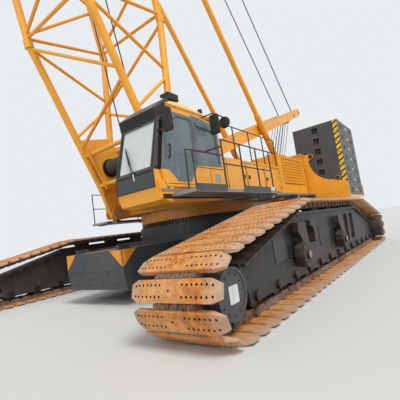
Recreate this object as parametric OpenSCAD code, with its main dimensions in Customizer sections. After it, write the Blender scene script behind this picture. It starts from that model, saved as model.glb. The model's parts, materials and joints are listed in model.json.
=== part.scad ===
// Crawler crane with a short lattice boom, a live mast and side stacks of counterweight.
// Origin: middle of the whole crane's box on the ground. +X is the way the boom points, +Y its
// left side, +Z up. The sizes are measured from the slewing axis, and in_row() moves each piece.

/* [Tracks] */
// Distance from the middle plane to the middle of each track
track_y = 3700; // [3500:10:3900]
// Width of a track shoe
shoe_w = 1300; // [1200:10:1360]
// Thickness of a track shoe
shoe_t = 62; // [50:1:75]
// Distance between like points of neighbouring shoes
shoe_pitch = 298; // [280:1:320]
// Length of a shoe along the track
shoe_len = 250; // [230:1:262]
// Width of the link chain under the shoes
chain_w = 560; // [500:10:600]
// Height of the link chain
chain_t = 108; // [95:1:120]
// Height of the flat upper run above the ground
track_h = 1590; // [1560:5:1620]
// Half length of the flat upper run
flat_half = 2420; // [2200:10:2600]
// Outer radius of the track around the end wheels
end_r = 532; // [510:1:550]
// Distance from the slewing axis to each end wheel's axle
end_x = 5028; // [4900:2:5100]

/* [Crawler frames] */
// Width of the box of a crawler frame
frame_w = 620; // [580:10:700]
// Height of the underside of the box above the ground
frame_z = 300; // [280:5:330]
// Radius of the track rollers
roller_r = 150; // [130:1:170]
// Number of track rollers in each frame
roller_n = 13; // [9:1:14]
// Radius of the end wheel axles
axle_r = 90; // [70:1:110]
// Radius of the final drive housing
drive_r = 330; // [280:5:345]

/* [Carbody] */
// Half length of the carbody box
carbody_x = 2050; // [1950:10:2150]
// Half width of the carbody box
carbody_y = 1500; // [1400:10:1600]
// Underside of the carbody above the ground
carbody_z = 420; // [380:5:480]
// Top of the carbody box
carbody_top = 1560; // [1520:5:1600]
// Height of the arms that carry the crawler frames
arm_h = 640; // [560:5:700]
// Length of each arm along the crane
arm_l = 760; // [650:10:850]
// Distance from the slewing axis to the middle of each arm
arm_x = 1560; // [1450:10:1620]

/* [Central ballast] */
// Half width of a ballast block
ballast_y = 1000; // [900:10:1150]
// Distance from the slewing axis to the outer face of a ballast block
ballast_x = 3950; // [3800:10:4100]
// Underside of a ballast block
ballast_z = 335; // [300:5:400]
// Height of a ballast block
ballast_h = 800; // [740:5:840]

/* [Slewing platform] */
// Radius of the slewing ring
ring_r = 1720; // [1600:5:1780]
// Underside of the platform
deck_z = 1990; // [1970:5:2020]
// Height of the platform
deck_h = 420; // [380:5:450]
// Half width of the platform
deck_y = 1080; // [1000:5:1100]
// Front end of the platform
deck_front = 1900; // [1850:10:1950]
// Rear end of the platform, behind the slewing axis
deck_rear = 6350; // [6200:10:6500]

/* [Cab] */
// Outer face of the cab's left wall
cab_y = 2450; // [2430:5:2480]
// Inner face of the cab, towards the boom
cab_in = 1400; // [1380:5:1420]
// Rear wall of the cab
cab_rear = 1960; // [1930:5:2000]
// Foot of the windscreen
cab_front = 4200; // [4150:5:4230]
// Floor underside of the cab
cab_z = 1830; // [1820:5:1850]
// Top of the cab roof
cab_top = 3760; // [3720:5:3800]
// Thickness of the cab walls
cab_wall = 60; // [50:1:70]

/* [Housings] */
// Outer face of the side housings
house_y = 2220; // [2180:5:2240]
// Inner face of the side housings
house_in = 1290; // [1270:5:1330]
// Wall thickness of the side housings
house_wall = 40; // [30:1:50]
// Height of the low front part of a housing
house_low = 900; // [820:10:960]
// Height of the tall rear part of a housing
house_high = 1360; // [1300:10:1420]
// Outer edge of the walkways
walk_y = 3000; // [2950:5:3020]

/* [Counterweights] */
// Number of slabs in each stack
slab_n = 7; // [5:1:8]
// Height of a slab
slab_h = 407; // [380:1:410]
// Inner side of a stack
stack_in = 1940; // [1900:10:2000]
// Outer side of a stack
stack_out = 3630; // [3560:10:3660]
// Front face of a stack
stack_front = -4420; // [-4450:5:-4400]
// Length of a slab along the crane
slab_l = 2450; // [2300:10:2500]
// Underside of the counterweight tray
tray_z = 1730; // [1710:5:1750]
// Thickness of the tray
tray_t = 80; // [60:5:90]

/* [Boom] */
// Boom pivot, forward of the slewing axis
foot_x = 2250; // [2230:5:2300]
// Boom pivot above the ground
foot_z = 2100; // [2090:5:2120]
// Boom angle above the horizontal as it stands
boom_angle = 79; // [75:0.5:80]
// Half width of the boom between chord middles
boom_y = 1200; // [1180:5:1210]
// Half depth of the boom between chord middles
boom_w = 1150; // [1100:5:1200]
// Length of the tapered lower end of the boom
taper_l = 4600; // [4400:50:4800]
// Length of the foot section
foot_l = 9000; // [8800:50:9200]
// Length of the middle section
mid_l = 6000; // [5800:50:6200]
// Length of the head section
head_l = 8600; // [8400:50:8800]
// Diameter of the boom's chord tubes
chord_d = 180; // [160:2:190]
// Diameter of the lacing tubes
lace_d = 84; // [70:1:95]
// Radius of the boom pivot pins
foot_pin_r = 75; // [60:1:85]

/* [Mast] */
// Mast pivot, forward of the slewing axis
mast_x = 1300; // [1250:5:1350]
// Mast pivot above the ground
mast_z = 3100; // [3050:5:3150]
// Mast angle from straight ahead as it stands
mast_angle = 160; // [158:0.5:162]
// Distance from the middle plane to the middle of each mast leg
mast_y = 600; // [580:5:620]
// Length of the mast from pivot to head
mast_l = 11600; // [11400:50:11800]
// Height of the box section of a mast leg
mast_h = 420; // [380:5:450]
// Width of the box section of a mast leg
mast_w = 240; // [200:5:260]

/* [Backstops] */
// Distance from the middle plane to each backstop
stop_y = 860; // [850:2:880]
// Backstop pivot behind the slewing axis
stop_x = 5850; // [5800:10:5900]
// Backstop pivot above the ground
stop_z = 2760; // [2740:5:2790]
// Place of the backstops' upper forks along the boom
stop_u = 12450; // [12300:50:12600]
// Place of the backstops' upper forks behind the boom's middle line
stop_w = 1550; // [1500:10:1650]
// Outer radius of the lower tube
sleeve_r = 128; // [120:1:135]
// Length of the lower tube
sleeve_l = 3500; // [3300:50:3600]
// Outer radius of the middle tube
middle_r = 96; // [90:1:100]
// Outer radius of the upper tube
upper_r = 76; // [70:1:80]

/* [Hoisting] */
// Radius of the winch drums
drum_r = 300; // [260:5:320]
// Radius of the sheaves
sheave_r = 400; // [380:5:420]
// Distance of the head sheaves in front of the boom's middle line
head_w = 1500; // [1400:10:1600]
// Drop from the head sheaves to the hook block
hook_drop = 6500; // [5000:50:8000]

/* [Hidden] */
$fn = 40;

yellow = [0.95, 0.66, 0.12];
dark = [0.13, 0.14, 0.16];
steel = [0.55, 0.56, 0.58];
slate = [0.22, 0.26, 0.30];
rust = [0.66, 0.45, 0.27];
glass_grey = [0.55, 0.64, 0.68];

seat_gap = 0.3;      // between pieces that rest on each other
run_fit = 0.05;      // radial play of a pin in its bore
swing_gap = 12;      // between moving pieces that pass each other
sink = 6;            // how far fused pieces reach into each other
shoe_bite = 4;       // how far a shoe reaches into the chain

// A box between two corners
module box(x0, x1, y0, y1, z0, z1) {
    translate([x0, y0, z0]) cube([x1 - x0, y1 - y0, z1 - z0]);
}

// A round bar between two points
module bar(a, b, d, fn = 24) {
    v = b - a;
    translate(a) rotate([0, acos(v.z / norm(v)), atan2(v.y, v.x)]) cylinder(h = norm(v), d = d, $fn = fn);
}

// A cylinder along Y, centred on y0 to y1
module along_y(x, z, r, y0, y1, fn = 48) {
    translate([x, y1, z]) rotate([90, 0, 0]) cylinder(h = y1 - y0, r = r, $fn = fn);
}

// A plate cut from an outline in the XZ plane, between two Y planes
module side_plate(y0, y1) {
    translate([0, y1, 0]) rotate([90, 0, 0]) linear_extrude(y1 - y0) children();
}

// The piece and its mirror image across the middle plane
module both_sides() {
    children();
    mirror([0, 1, 0]) children();
}

house_x0 = -4150;
house_x1 = -1750;
house_x2 = 1780;
boom_l = foot_l + mid_l + head_l;

/* The row's origin is the middle of the whole crane on the ground */
head_u = boom_l - 450;
head_c = [foot_x + head_u * cos(boom_angle) + head_w * sin(boom_angle), foot_z + head_u * sin(boom_angle) - head_w * cos(boom_angle)];
row_x = -(head_c.x + sheave_r + mast_x + mast_l * cos(mast_angle) - mast_h / 2) / 2;
module in_row() { translate([row_x, 0, 0]) children(); }

/* Track path, seen from the side, with X forward and Z up */
end_dx = end_x - flat_half;
end_dz = track_h - end_r;
end_reach = sqrt(end_dx * end_dx + end_dz * end_dz);
slope = atan2(end_dz, end_dx) - asin(end_r / end_reach);
slope_l = sqrt(end_reach * end_reach - end_r * end_r);
arc_a = 180 - slope;
arc_l = end_r * arc_a * PI / 180;
loop_l = 2 * end_x + 2 * arc_l + 2 * slope_l + 2 * flat_half;
shoe_n = round(loop_l / shoe_pitch);

function front_arc(r, a) = [end_x + r * cos(a), end_r + r * sin(a)];
// Outline of the loop, moved inwards by d
arc_steps = 10;
arc_step = arc_a / arc_steps;
function loop_points(d) = let (k = d * tan(slope / 2)) concat(
    [for (i = [0 : arc_steps]) front_arc(end_r - d, -90 + i * arc_step)],
    [[flat_half - k, track_h - d], [-(flat_half - k), track_h - d]],
    [for (i = [0 : arc_steps]) let (p = front_arc(end_r - d, 90 - slope - i * arc_step)) [-p.x, p.y]]
);
// Place and heading of the point at distance s along the loop: [x, z, angle of travel]
function on_loop(s) =
    s < end_x ? [s, 0, 0] :
    s < end_x + arc_l ? let (a = (s - end_x) / end_r * 180 / PI) concat(front_arc(end_r, a - 90), [a]) :
    s < end_x + arc_l + slope_l ?
        let (t = s - end_x - arc_l, p = front_arc(end_r, 90 - slope))
        [p.x - t * cos(slope), p.y + t * sin(slope), arc_a] :
    s <= loop_l / 2 ? [flat_half - (s - end_x - arc_l - slope_l), track_h, 180] :
    let (q = on_loop(loop_l - s)) [-q.x, q.y, 360 - q.z];

module track(side) {
    y0 = side * track_y;
    shoe_in = shoe_t + shoe_bite;
    color(rust) in_row() {
        for (i = [0 : shoe_n - 1]) {
            p = on_loop((i + 0.5) * loop_l / shoe_n);
            translate([p.x, y0, p.y]) rotate([0, -p.z, 0])
                translate([-shoe_len / 2, -shoe_w / 2, 0]) cube([shoe_len, shoe_w, shoe_in]);
        }
        side_plate(y0 - chain_w / 2, y0 + chain_w / 2) difference() {
            polygon(loop_points(shoe_t));
            polygon(loop_points(shoe_t + chain_t));
        }
    }
}

/* Crawler frames and what runs in them */
wheel_r = (end_r - shoe_t - chain_t) * cos(arc_step / 2) - seat_gap;
roller_z = shoe_t + chain_t + seat_gap + roller_r;
frame_top = track_h - shoe_t - chain_t - 60;
frame_end = end_x - wheel_r - 90;
tongue_w = 200;
cheek_t = 40;
roller_span = 2 * (end_x - wheel_r - 420);
function roller_x(i) = -roller_span / 2 + i * roller_span / (roller_n - 1);

module crawler_frame(side) {
    y0 = side * track_y;
    fy = frame_w / 2;
    box_z = roller_z + roller_r + 40;
    color(slate) in_row() difference() {
        union() {
            side_plate(y0 - fy, y0 + fy) polygon([
                [-frame_end, box_z], [frame_end, box_z],
                [frame_end, end_r + wheel_r * 0.75], [flat_half - 60, frame_top],
                [-(flat_half - 60), frame_top], [-frame_end, end_r + wheel_r * 0.75]
            ]);
            for (s = [-1, 1]) {
                // cheek that carries the roller shafts
                side_plate(y0 + s * fy - (s > 0 ? cheek_t : 0), y0 + s * fy + (s > 0 ? 0 : cheek_t))
                    polygon([
                        [-roller_span / 2 - 220, box_z + sink], [roller_span / 2 + 220, box_z + sink],
                        [roller_span / 2 + 160, frame_z - 50], [-roller_span / 2 - 160, frame_z - 50]
                    ]);
                // tongue that carries the end axle
                side_plate(y0 - tongue_w / 2, y0 + tongue_w / 2) polygon([
                    [s * (frame_end - 300), box_z], [s * end_x, end_r - 160],
                    [s * (end_x + 150), end_r], [s * end_x, end_r + 160],
                    [s * (frame_end - 300), end_r + wheel_r * 0.7]
                ]);
                // flange plate along the upper edge
                side_plate(y0 + s * (fy + 27) - 33, y0 + s * (fy + 27) + 33) polygon([
                    [-frame_end + 60, end_r + wheel_r * 0.75 - 60], [-(flat_half - 60), frame_top - 46],
                    [flat_half - 60, frame_top - 46], [frame_end - 60, end_r + wheel_r * 0.75 - 60],
                    [frame_end - 60, end_r + wheel_r * 0.75 - 16], [flat_half - 60, frame_top],
                    [-(flat_half - 60), frame_top], [-frame_end + 60, end_r + wheel_r * 0.75 - 16]
                ]);
            }
            // skids that carry the upper run
            for (x = [-1800, -600, 600, 1800])
                box(x - 200, x + 200, y0 - 120, y0 + 120, frame_top - sink, track_h - shoe_t - chain_t - seat_gap);
        }
        for (s = [-1, 1]) along_y(s * end_x, end_r, axle_r + run_fit, y0 - 200, y0 + 200);
        for (i = [0 : roller_n - 1])
            along_y(roller_x(i), roller_z, 45 + run_fit, y0 - fy - 80, y0 + fy + 80, 24);
    }
}

// One end wheel: two rims on an axle, either side of the frame's tongue
module end_wheel(x, side, hub_out) {
    y0 = side * track_y;
    rim_in = tongue_w / 2 + 10;
    rim_w = 150;
    along_y(x, end_r, axle_r, y0 - rim_in - rim_w, y0 + rim_in + rim_w);
    for (s = [-1, 1]) {
        along_y(x, end_r, wheel_r, min(y0 + s * rim_in, y0 + s * (rim_in + rim_w)),
            max(y0 + s * rim_in, y0 + s * (rim_in + rim_w)), 64);
    }
    if (hub_out > 0) {
        a = y0 + side * (rim_in + rim_w - sink);
        b = y0 + side * (shoe_w / 2 - 20);
        along_y(x, end_r, drive_r, min(a, b), max(a, b), 64);
        c = y0 + side * (shoe_w / 2 - 4);
        along_y(x, end_r, drive_r * 0.55, min(a, c), max(a, c), 48);
    }
}

module idlers() { color(slate) in_row() for (side = [-1, 1]) end_wheel(end_x, side, 0); }
module drive_wheels() { color(slate) in_row() for (side = [-1, 1]) end_wheel(-end_x, side, 1); }

module rollers() {
    fy = frame_w / 2;
    color(dark) in_row() for (side = [-1, 1], i = [0 : roller_n - 1]) {
        y0 = side * track_y;
        along_y(roller_x(i), roller_z, 45, y0 - fy - 40, y0 + fy + 40, 24);
        along_y(roller_x(i), roller_z, roller_r, y0 - chain_w / 2 + 20, y0 + chain_w / 2 - 20);
        for (s = [-1, 1]) along_y(roller_x(i), roller_z, 70,
            min(y0 + s * (fy + seat_gap), y0 + s * (fy + 40)), max(y0 + s * (fy + seat_gap), y0 + s * (fy + 40)), 24);
    }
}

// Curved handling lugs on the outer faces: [x of the pin, z of the pin, height above the pin]
lug_rows = [[2620, 620, 560], [-60, 620, 560]];
module side_lug(x, z, h) {
    side_plate(frame_w / 2 + 60 + seat_gap, frame_w / 2 + 170) polygon([
        [x - 210, z + h], [x + 150, z + h], [x + 190, z + h * 0.72],
        [x + 60, z + h * 0.5], [x + 40, z + h * 0.4], [x + 190, z + 120], [x + 214, z],
        [x + 150, z - 150], [x, z - 214], [x - 150, z - 150], [x - 230, z + 60], [x - 240, z + h * 0.5]
    ]);
    along_y(x, z, 205, frame_w / 2 + 40, frame_w / 2 + 210);
}
module side_lugs() {
    color(dark) in_row() for (side = [-1, 1]) translate([0, side * track_y, 0]) mirror([0, side < 0 ? 1 : 0, 0]) {
        for (r = lug_rows) {
            side_lug(r[0], r[1], r[2]);
            along_y(r[0], r[1], 80, frame_w / 2 + seat_gap, frame_w / 2 + 240, 32);
        }
        // hooked bracket between the lugs
        side_plate(frame_w / 2 + seat_gap, frame_w / 2 + 110) polygon([
            [1680, 1180], [1960, 1180], [1980, 1090], [1850, 1060], [1790, 960], [1830, 800],
            [1760, 760], [1690, 900]
        ]);
        // triangular stiffeners
        for (x = [-1300, -1950]) side_plate(frame_w / 2 + seat_gap, frame_w / 2 + 60) polygon([
            [x - 60, 1180], [x + 60, 1180], [x + 160, 480], [x - 40, 480]
        ]);
    }
}

/* Carbody */
module carbody() {
    arm_z = carbody_z + 90;
    arm_end = track_y - frame_w / 2 - seat_gap;
    color(dark) in_row() difference() {
        union() {
            box(-carbody_x, carbody_x, -carbody_y, carbody_y, carbody_z, carbody_top - 330);
            translate([0, 0, carbody_top - 330 - sink]) cylinder(h = 330 + sink, r = ring_r + 90, $fn = 96);
            for (s = [-1, 1]) box(s * arm_x - arm_l / 2, s * arm_x + arm_l / 2, -arm_end, arm_end, arm_z, arm_z + arm_h);
            for (s = [-1, 1]) box(s * arm_x - arm_l / 2 - 60, s * arm_x + arm_l / 2 + 60, -arm_end, arm_end,
                arm_z + arm_h - sink, arm_z + arm_h + 30);
            // ledges for the ballast blocks
            for (s = [-1, 1]) box(s > 0 ? carbody_x - sink : -ballast_x + 300, s > 0 ? ballast_x - 300 : -carbody_x + sink,
                -700, 700, carbody_z - 60, carbody_z + 100);
        }
        cylinder(h = 3 * carbody_top, r = 300, center = true, $fn = 48);
        for (s = [-1, 1], t = [-1, 1]) translate([s * (carbody_x - 160), t * (carbody_y - 160), 0])
            cylinder(h = carbody_z + 200, r = 40, $fn = 32);
    }
}

// Ballast blocks in front of and behind the carbody, each with a notch for its ledge
module ballast_blocks() {
    x0 = carbody_x + 30;
    color(slate) in_row() for (s = [0, 1]) mirror([s, 0, 0]) difference() {
        union() {
            side_plate(-ballast_y, ballast_y) polygon([
                [x0, ballast_z], [ballast_x - 60, ballast_z], [ballast_x, ballast_z + 330],
                [ballast_x, ballast_z + ballast_h], [x0, ballast_z + ballast_h]
            ]);
            for (t = [-1, 1]) box(ballast_x - 420, ballast_x - 120, t * (ballast_y - 260) - 40, t * (ballast_y - 260) + 40,
                ballast_z + ballast_h - sink, ballast_z + ballast_h + 90);
        }
        box(x0 - 10, ballast_x - 300 + 20, -700 - seat_gap, 700 + seat_gap, ballast_z - 10, carbody_z + 100 + seat_gap);
    }
}

/* Slewing ring */
ring_split = carbody_top + 130;
module ring_lower() {
    color(dark) in_row() difference() {
        translate([0, 0, carbody_top + seat_gap]) cylinder(h = ring_split - carbody_top - seat_gap, r = ring_r, $fn = 96);
        cylinder(h = 2 * ring_split, r = ring_r - 320, $fn = 96);
    }
}
module ring_upper() {
    color(yellow) in_row() difference() {
        translate([0, 0, ring_split + seat_gap])
            cylinder(h = deck_z - 2 * seat_gap - ring_split, r = ring_r + 30, $fn = 96);
        translate([0, 0, ring_split]) cylinder(h = deck_z, r = ring_r - 320, $fn = 96);
    }
}

/* Platform */
deck_top = deck_z + deck_h;
girder_t = 60;
ear_t = 70;
ear_y = boom_y - 170;
ear_out = boom_y + 100;
cross_x = house_x2 + 20;
outrigger_x = [1500, -300, -2300, -4100];
module main_frame() {
    color(yellow) in_row() difference() {
        union() {
            box(-deck_rear, deck_front, -deck_y, deck_y, deck_z, deck_z + 120);
            for (s = [-1, 1]) {
                // side girders
                box(-deck_rear, deck_front, min(s * deck_y, s * (deck_y - girder_t)),
                    max(s * deck_y, s * (deck_y - girder_t)), deck_z, deck_top);
                // inner boom ear
                side_plate(min(s * ear_y, s * (ear_y + ear_t)), max(s * ear_y, s * (ear_y + ear_t))) polygon([
                    [deck_front - 900, deck_z + 20], [foot_x + 120, deck_z - 40], [foot_x + 190, foot_z],
                    [foot_x + 100, foot_z + 190], [foot_x - 150, foot_z + 200], [deck_front - 900, deck_top]
                ]);
                // outer boom ear and the cross box that carries it
                side_plate(min(s * ear_out, s * (ear_out + ear_t)), max(s * ear_out, s * (ear_out + ear_t))) polygon([
                    [cross_x, deck_z], [foot_x + 120, deck_z - 40], [foot_x + 190, foot_z],
                    [foot_x + 100, foot_z + 190], [foot_x - 150, foot_z + 200], [cross_x, deck_top - 20]
                ]);
                box(cross_x, cab_rear - seat_gap, min(s * (deck_y - sink), s * (ear_out + sink)),
                    max(s * (deck_y - sink), s * (ear_out + sink)), deck_z, deck_top - 20);
                // mast posts
                for (e = [mast_y - mast_w / 2 - 24 - 50, mast_y + mast_w / 2 + 24])
                    side_plate(min(s * e, s * (e + 50)), max(s * e, s * (e + 50))) polygon([
                        [mast_x - 520, deck_z + 60], [mast_x + 520, deck_z + 60], [mast_x + 200, mast_z],
                        [mast_x + 100, mast_z + 200], [mast_x - 100, mast_z + 200], [mast_x - 220, mast_z]
                    ]);
                // backstop ears
                for (e = [stop_y - sleeve_r - 70, stop_y + sleeve_r + 20])
                    side_plate(min(s * e, s * (e + 50)), max(s * e, s * (e + 50))) polygon([
                        [-stop_x - 320, deck_z + 60], [-stop_x + 320, deck_z + 60], [-stop_x + 130, stop_z + 60],
                        [-stop_x + 50, stop_z + 130], [-stop_x - 80, stop_z + 130], [-stop_x - 150, stop_z]
                    ]);
                // outriggers that carry the cab and the housings
                for (x = outrigger_x)
                    box(x - 90, x + 90, min(s * (deck_y - sink), s * (house_y - 40)), max(s * (deck_y - sink), s * (house_y - 40)),
                        deck_z, deck_z + 60);
            }
            // arm that carries the cab
            box(cross_x, cab_rear - seat_gap, ear_out, cab_y - 200, deck_z, deck_top - 60);
            // drum bearings
            for (d = drum_rows, s = [-1, 1])
                side_plate(min(s * deck_y, s * (deck_y - girder_t)), max(s * deck_y, s * (deck_y - girder_t))) polygon([
                    [d[0] - 360, deck_z + 60], [d[0] + 360, deck_z + 60], [d[0] + 140, d[1] + 140], [d[0] - 140, d[1] + 140]
                ]);
            // cross walls
            for (x = [deck_front - 60, 300, -1200, -3400, -deck_rear + 30])
                box(x - 30, x + 30, -deck_y + 10, deck_y - 10, deck_z + 60, deck_top - 10);
            // cradle of the luffing rope's lower block
            for (s = [-1, 1]) side_plate(s * 500 - 30, s * 500 + 30) polygon([
                [-deck_rear + 60, deck_z + 60], [-deck_rear + 660, deck_z + 60], [-deck_rear + 420, deck_top + 330],
                [-deck_rear + 220, deck_top + 330]
            ]);
        }
        for (s = [-1, 1]) {
            along_y(mast_x, mast_z, 60 + run_fit, s * mast_y - 240, s * mast_y + 240, 40);
            along_y(-stop_x, stop_z, 50 + run_fit, s * stop_y - 240, s * stop_y + 240, 40);
            along_y(foot_x, foot_z, foot_pin_r + run_fit, s * boom_y - 200, s * boom_y + 200, 40);
        }
        along_y(block_x, block_z, 50 + run_fit, -600, 600, 40);
        for (x = [-600, 600]) translate([x, 0, 0]) cylinder(h = 2 * deck_z + 300, r = 160, $fn = 40);
        for (d = drum_rows) along_y(d[0], d[1], 60 + run_fit, -deck_y - 10, deck_y + 10, 40);
    }
}
block_x = -deck_rear + 320;
block_z = deck_top + 230;
// Winch drums on the platform: [x, z]
drum_z = deck_z + 120 + drum_r + swing_gap;
drum_rows = [[-2350, drum_z], [-300, drum_z]];

module deck_drum(row) {
    color(dark) in_row() {
        along_y(row[0], row[1], 60, -deck_y, deck_y, 40);
        along_y(row[0], row[1], drum_r * 0.7, -deck_y + girder_t + swing_gap, deck_y - girder_t - swing_gap);
        for (s = [-1, 1]) along_y(row[0], row[1], drum_r,
            min(s * (deck_y - girder_t - swing_gap), s * (deck_y - girder_t - swing_gap - 50)),
            max(s * (deck_y - girder_t - swing_gap), s * (deck_y - girder_t - swing_gap - 50)), 64);
    }
}

/* Cab */
cab_low = 2420;           // foot of the windscreen glass
sill_z = 2160;            // foot of the lower windscreen panel
screen_top_x = 3920;      // top of the windscreen
screen_top_z = cab_top - 370;
door_x0 = 2960;
door_x1 = 3900;
glass_t = 12;
floor_z = cab_z + 130;
module cab_outline(d = 0) {
    offset(delta = -d) polygon([
        [cab_rear, cab_z + 160], [cab_rear + 200, cab_z + 40], [3900, cab_z], [cab_front - 60, cab_z + 60],
        [cab_front, sill_z], [cab_front, cab_low], [screen_top_x, screen_top_z], [3560, cab_top - 90],
        [2700, cab_top - 90], [cab_rear, cab_top - 190]
    ]);
}
module door_outline(d = 0) {
    offset(delta = -d) polygon([
        [door_x0, cab_z + 290], [door_x1 + 60, cab_z + 290], [door_x1 + 160, cab_low], [door_x1 - 70, screen_top_z + 30],
        [3480, cab_top - 190], [door_x0, cab_top - 190]
    ]);
}
// Window openings in the left wall: rear quarter window, door window
module rear_window() {
    polygon([
        [cab_rear + 110, cab_low + 230], [door_x0 - 130, cab_low + 200],
        [door_x0 - 110, cab_top - 300], [cab_rear + 130, cab_top - 340]
    ]);
}
module door_window() {
    polygon([
        [door_x0 + 70, cab_low + 170], [door_x0 + 330, cab_z + 440], [door_x0 + 640, cab_z + 440],
        [door_x1 - 60, cab_low + 60], [door_x1 + 60, cab_low + 80], [door_x1 - 110, screen_top_z - 40],
        [3440, cab_top - 250], [door_x0 + 70, cab_top - 250]
    ]);
}
module inner_window() {
    polygon([
        [cab_rear + 150, cab_low + 260], [3900, cab_low + 60], [3780, screen_top_z - 90],
        [3480, cab_top - 290], [cab_rear + 150, cab_top - 320]
    ]);
}
module cab_shell() {
    y1 = cab_y - 50;
    color(yellow) in_row() {
        box(cab_rear + 130, 3900, cab_in + cab_wall - sink, y1 - cab_wall + sink, cab_z + 50, floor_z);
        difference() {
            union() {
                side_plate(cab_in, y1) cab_outline();
                // sill below the door
                side_plate(y1 - sink, cab_y) polygon([
                    [cab_rear + 200, cab_z + 60], [3900, cab_z + 20], [cab_front - 80, cab_z + 80],
                    [cab_front - 30, sill_z + 80], [door_x1 + 112, sill_z + 60],
                    [door_x1 + 66, cab_z + 250], [cab_rear + 40, cab_z + 250]
                ]);
            }
            side_plate(cab_in + cab_wall, y1 - cab_wall) cab_outline(cab_wall);
            // door opening, rear quarter window and inner side window
            side_plate(y1 - cab_wall - 20, y1 + 1) door_outline(50);
            side_plate(y1 - cab_wall - 20, y1 + 1) rear_window();
            side_plate(cab_in - 1, cab_in + cab_wall + 20) inner_window();
            // windscreen and lower panel
            box(screen_top_x - 160, cab_front + 60, cab_in + 70, y1 - 70, cab_low + 50, screen_top_z - 10);
            box(cab_front - 200, cab_front + 60, cab_in + 90, y1 - 90, sill_z + 50, cab_low - 40);
            // rear window
            box(cab_rear - 10, cab_rear + cab_wall + 10, cab_in + 160, y1 - 160, cab_low + 260, cab_top - 330);
        }
    }
}
module cab_roof() {
    color(yellow) in_row() {
        side_plate(cab_in + 20, cab_y - 70) polygon([
            [cab_rear + 80, cab_top - 176 + seat_gap], [2700, cab_top - 90 + seat_gap], [3560, cab_top - 90 + seat_gap],
            [3620, cab_top - 60], [3500, cab_top - 12], [3200, cab_top], [2700, cab_top - 20], [cab_rear + 120, cab_top - 120]
        ]);
    }
}
module cab_door() {
    y0 = cab_y - 50 + swing_gap / 2;
    color(yellow) in_row() {
        difference() {
            side_plate(y0, cab_y) door_outline();
            side_plate(y0 - 1, cab_y + 1) door_window();
        }
        // runners on the sill
        for (x = [door_x0 + 50, door_x1 - 110])
            box(x, x + 90, y0 + 6, cab_y - 6, cab_z + 250 + seat_gap, cab_z + 290 + sink);
    }
}
module door_glass() {
    y0 = cab_y - 30;
    color(glass_grey) in_row() side_plate(y0, y0 + glass_t) offset(delta = -seat_gap) door_window();
}
module cab_glass() {
    y1 = cab_y - 50;
    color(glass_grey) in_row() {
        side_plate(y1 - 40, y1 - 40 + glass_t) offset(delta = -seat_gap) rear_window();
        side_plate(cab_in + 20, cab_in + 20 + glass_t) offset(delta = -seat_gap) inner_window();
        // windscreen
        intersection() {
            side_plate(cab_in + 70 + seat_gap, y1 - 70 - seat_gap) difference() {
                cab_outline(15);
                cab_outline(15 + glass_t);
            }
            box(screen_top_x - 120, cab_front + 60, cab_in, y1, cab_low + 50 + seat_gap,
                screen_top_z - 10 - seat_gap);
        }
        intersection() {
            side_plate(cab_in + 90 + seat_gap, y1 - 90 - seat_gap) difference() {
                cab_outline(15);
                cab_outline(15 + glass_t);
            }
            box(cab_front - 100, cab_front + 60, cab_in, y1, sill_z + 50 + seat_gap, cab_low - 40 - seat_gap);
        }
        box(cab_rear + 20, cab_rear + 20 + glass_t, cab_in + 160 + seat_gap, y1 - 160 - seat_gap,
            cab_low + 260 + seat_gap, cab_top - 330 - seat_gap);
    }
}
module cab_seat() {
    ym = (cab_in + cab_y - 50) / 2;
    color(dark) in_row() {
        box(2620, 3180, ym - 240, ym + 240, floor_z + 420, floor_z + 540);
        box(2500, 2640, ym - 230, ym + 230, floor_z + 480, floor_z + 1180);
        box(2720, 3080, ym - 180, ym + 180, floor_z + seat_gap, floor_z + 440);
        for (s = [-1, 1]) box(2760, 3360, ym + s * 340 - 70, ym + s * 340 + 70, floor_z + seat_gap, floor_z + 560);
        box(2700, 3100, ym - 360, ym + 360, floor_z + 100, floor_z + 300);
    }
}

/* Mirrors, on arms from the cab */
module mirrors() {
    y1 = cab_y;
    color(dark) in_row() {
        // forward mirror on its arm
        box(3630, 3680, y1 + 120, y1 + 330, 3010, 3470);
        bar([3655, y1 - 50 + seat_gap, 3565], [3655, y1 + 225, 3565], 34);
        bar([3655, y1 + 225, 3450], [3655, y1 + 225, 3582], 34);
        // rear mirror on its arm
        box(2330, 2380, y1 + 260, y1 + 480, 3190, 3580);
        bar([2355, y1 - 50 + seat_gap, 3610], [2355, y1 + 370, 3610], 34);
        bar([2355, y1 + 370, 3560], [2355, y1 + 370, 3627], 34);
    }
}

/* Side housings */
house_z = deck_z + 60 + seat_gap;
house_door_x = [-1560, -900];
module housing(side) {
    color(yellow) in_row() mirror([0, side < 0 ? 1 : 0, 0]) difference() {
        union() {
            box(house_x0, house_x1, house_in, house_y, house_z, house_z + house_high);
            box(house_x1 - sink, house_x2, house_in, house_y, house_z, house_z + house_low);
        }
        box(house_x0 + house_wall, house_x1 - house_wall, house_in + house_wall, house_y - house_wall,
            house_z + house_wall, house_z + house_high - house_wall);
        box(house_x1 + house_wall, house_x2 - house_wall, house_in + house_wall, house_y - house_wall,
            house_z + house_wall, house_z + house_low - house_wall);
        // door opening
        box(house_door_x[0], house_door_x[1], house_y - house_wall - 10, house_y + 10,
            house_z + 90, house_z + house_low - 90);
        // louvres of the tall part, pressed half way into the panel
        for (i = [0 : 7]) box(house_x0 + 300, house_x1 - 400, house_y - house_wall / 2, house_y + 10,
            house_z + 420 + i * 100, house_z + 470 + i * 100);
    }
}
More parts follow.
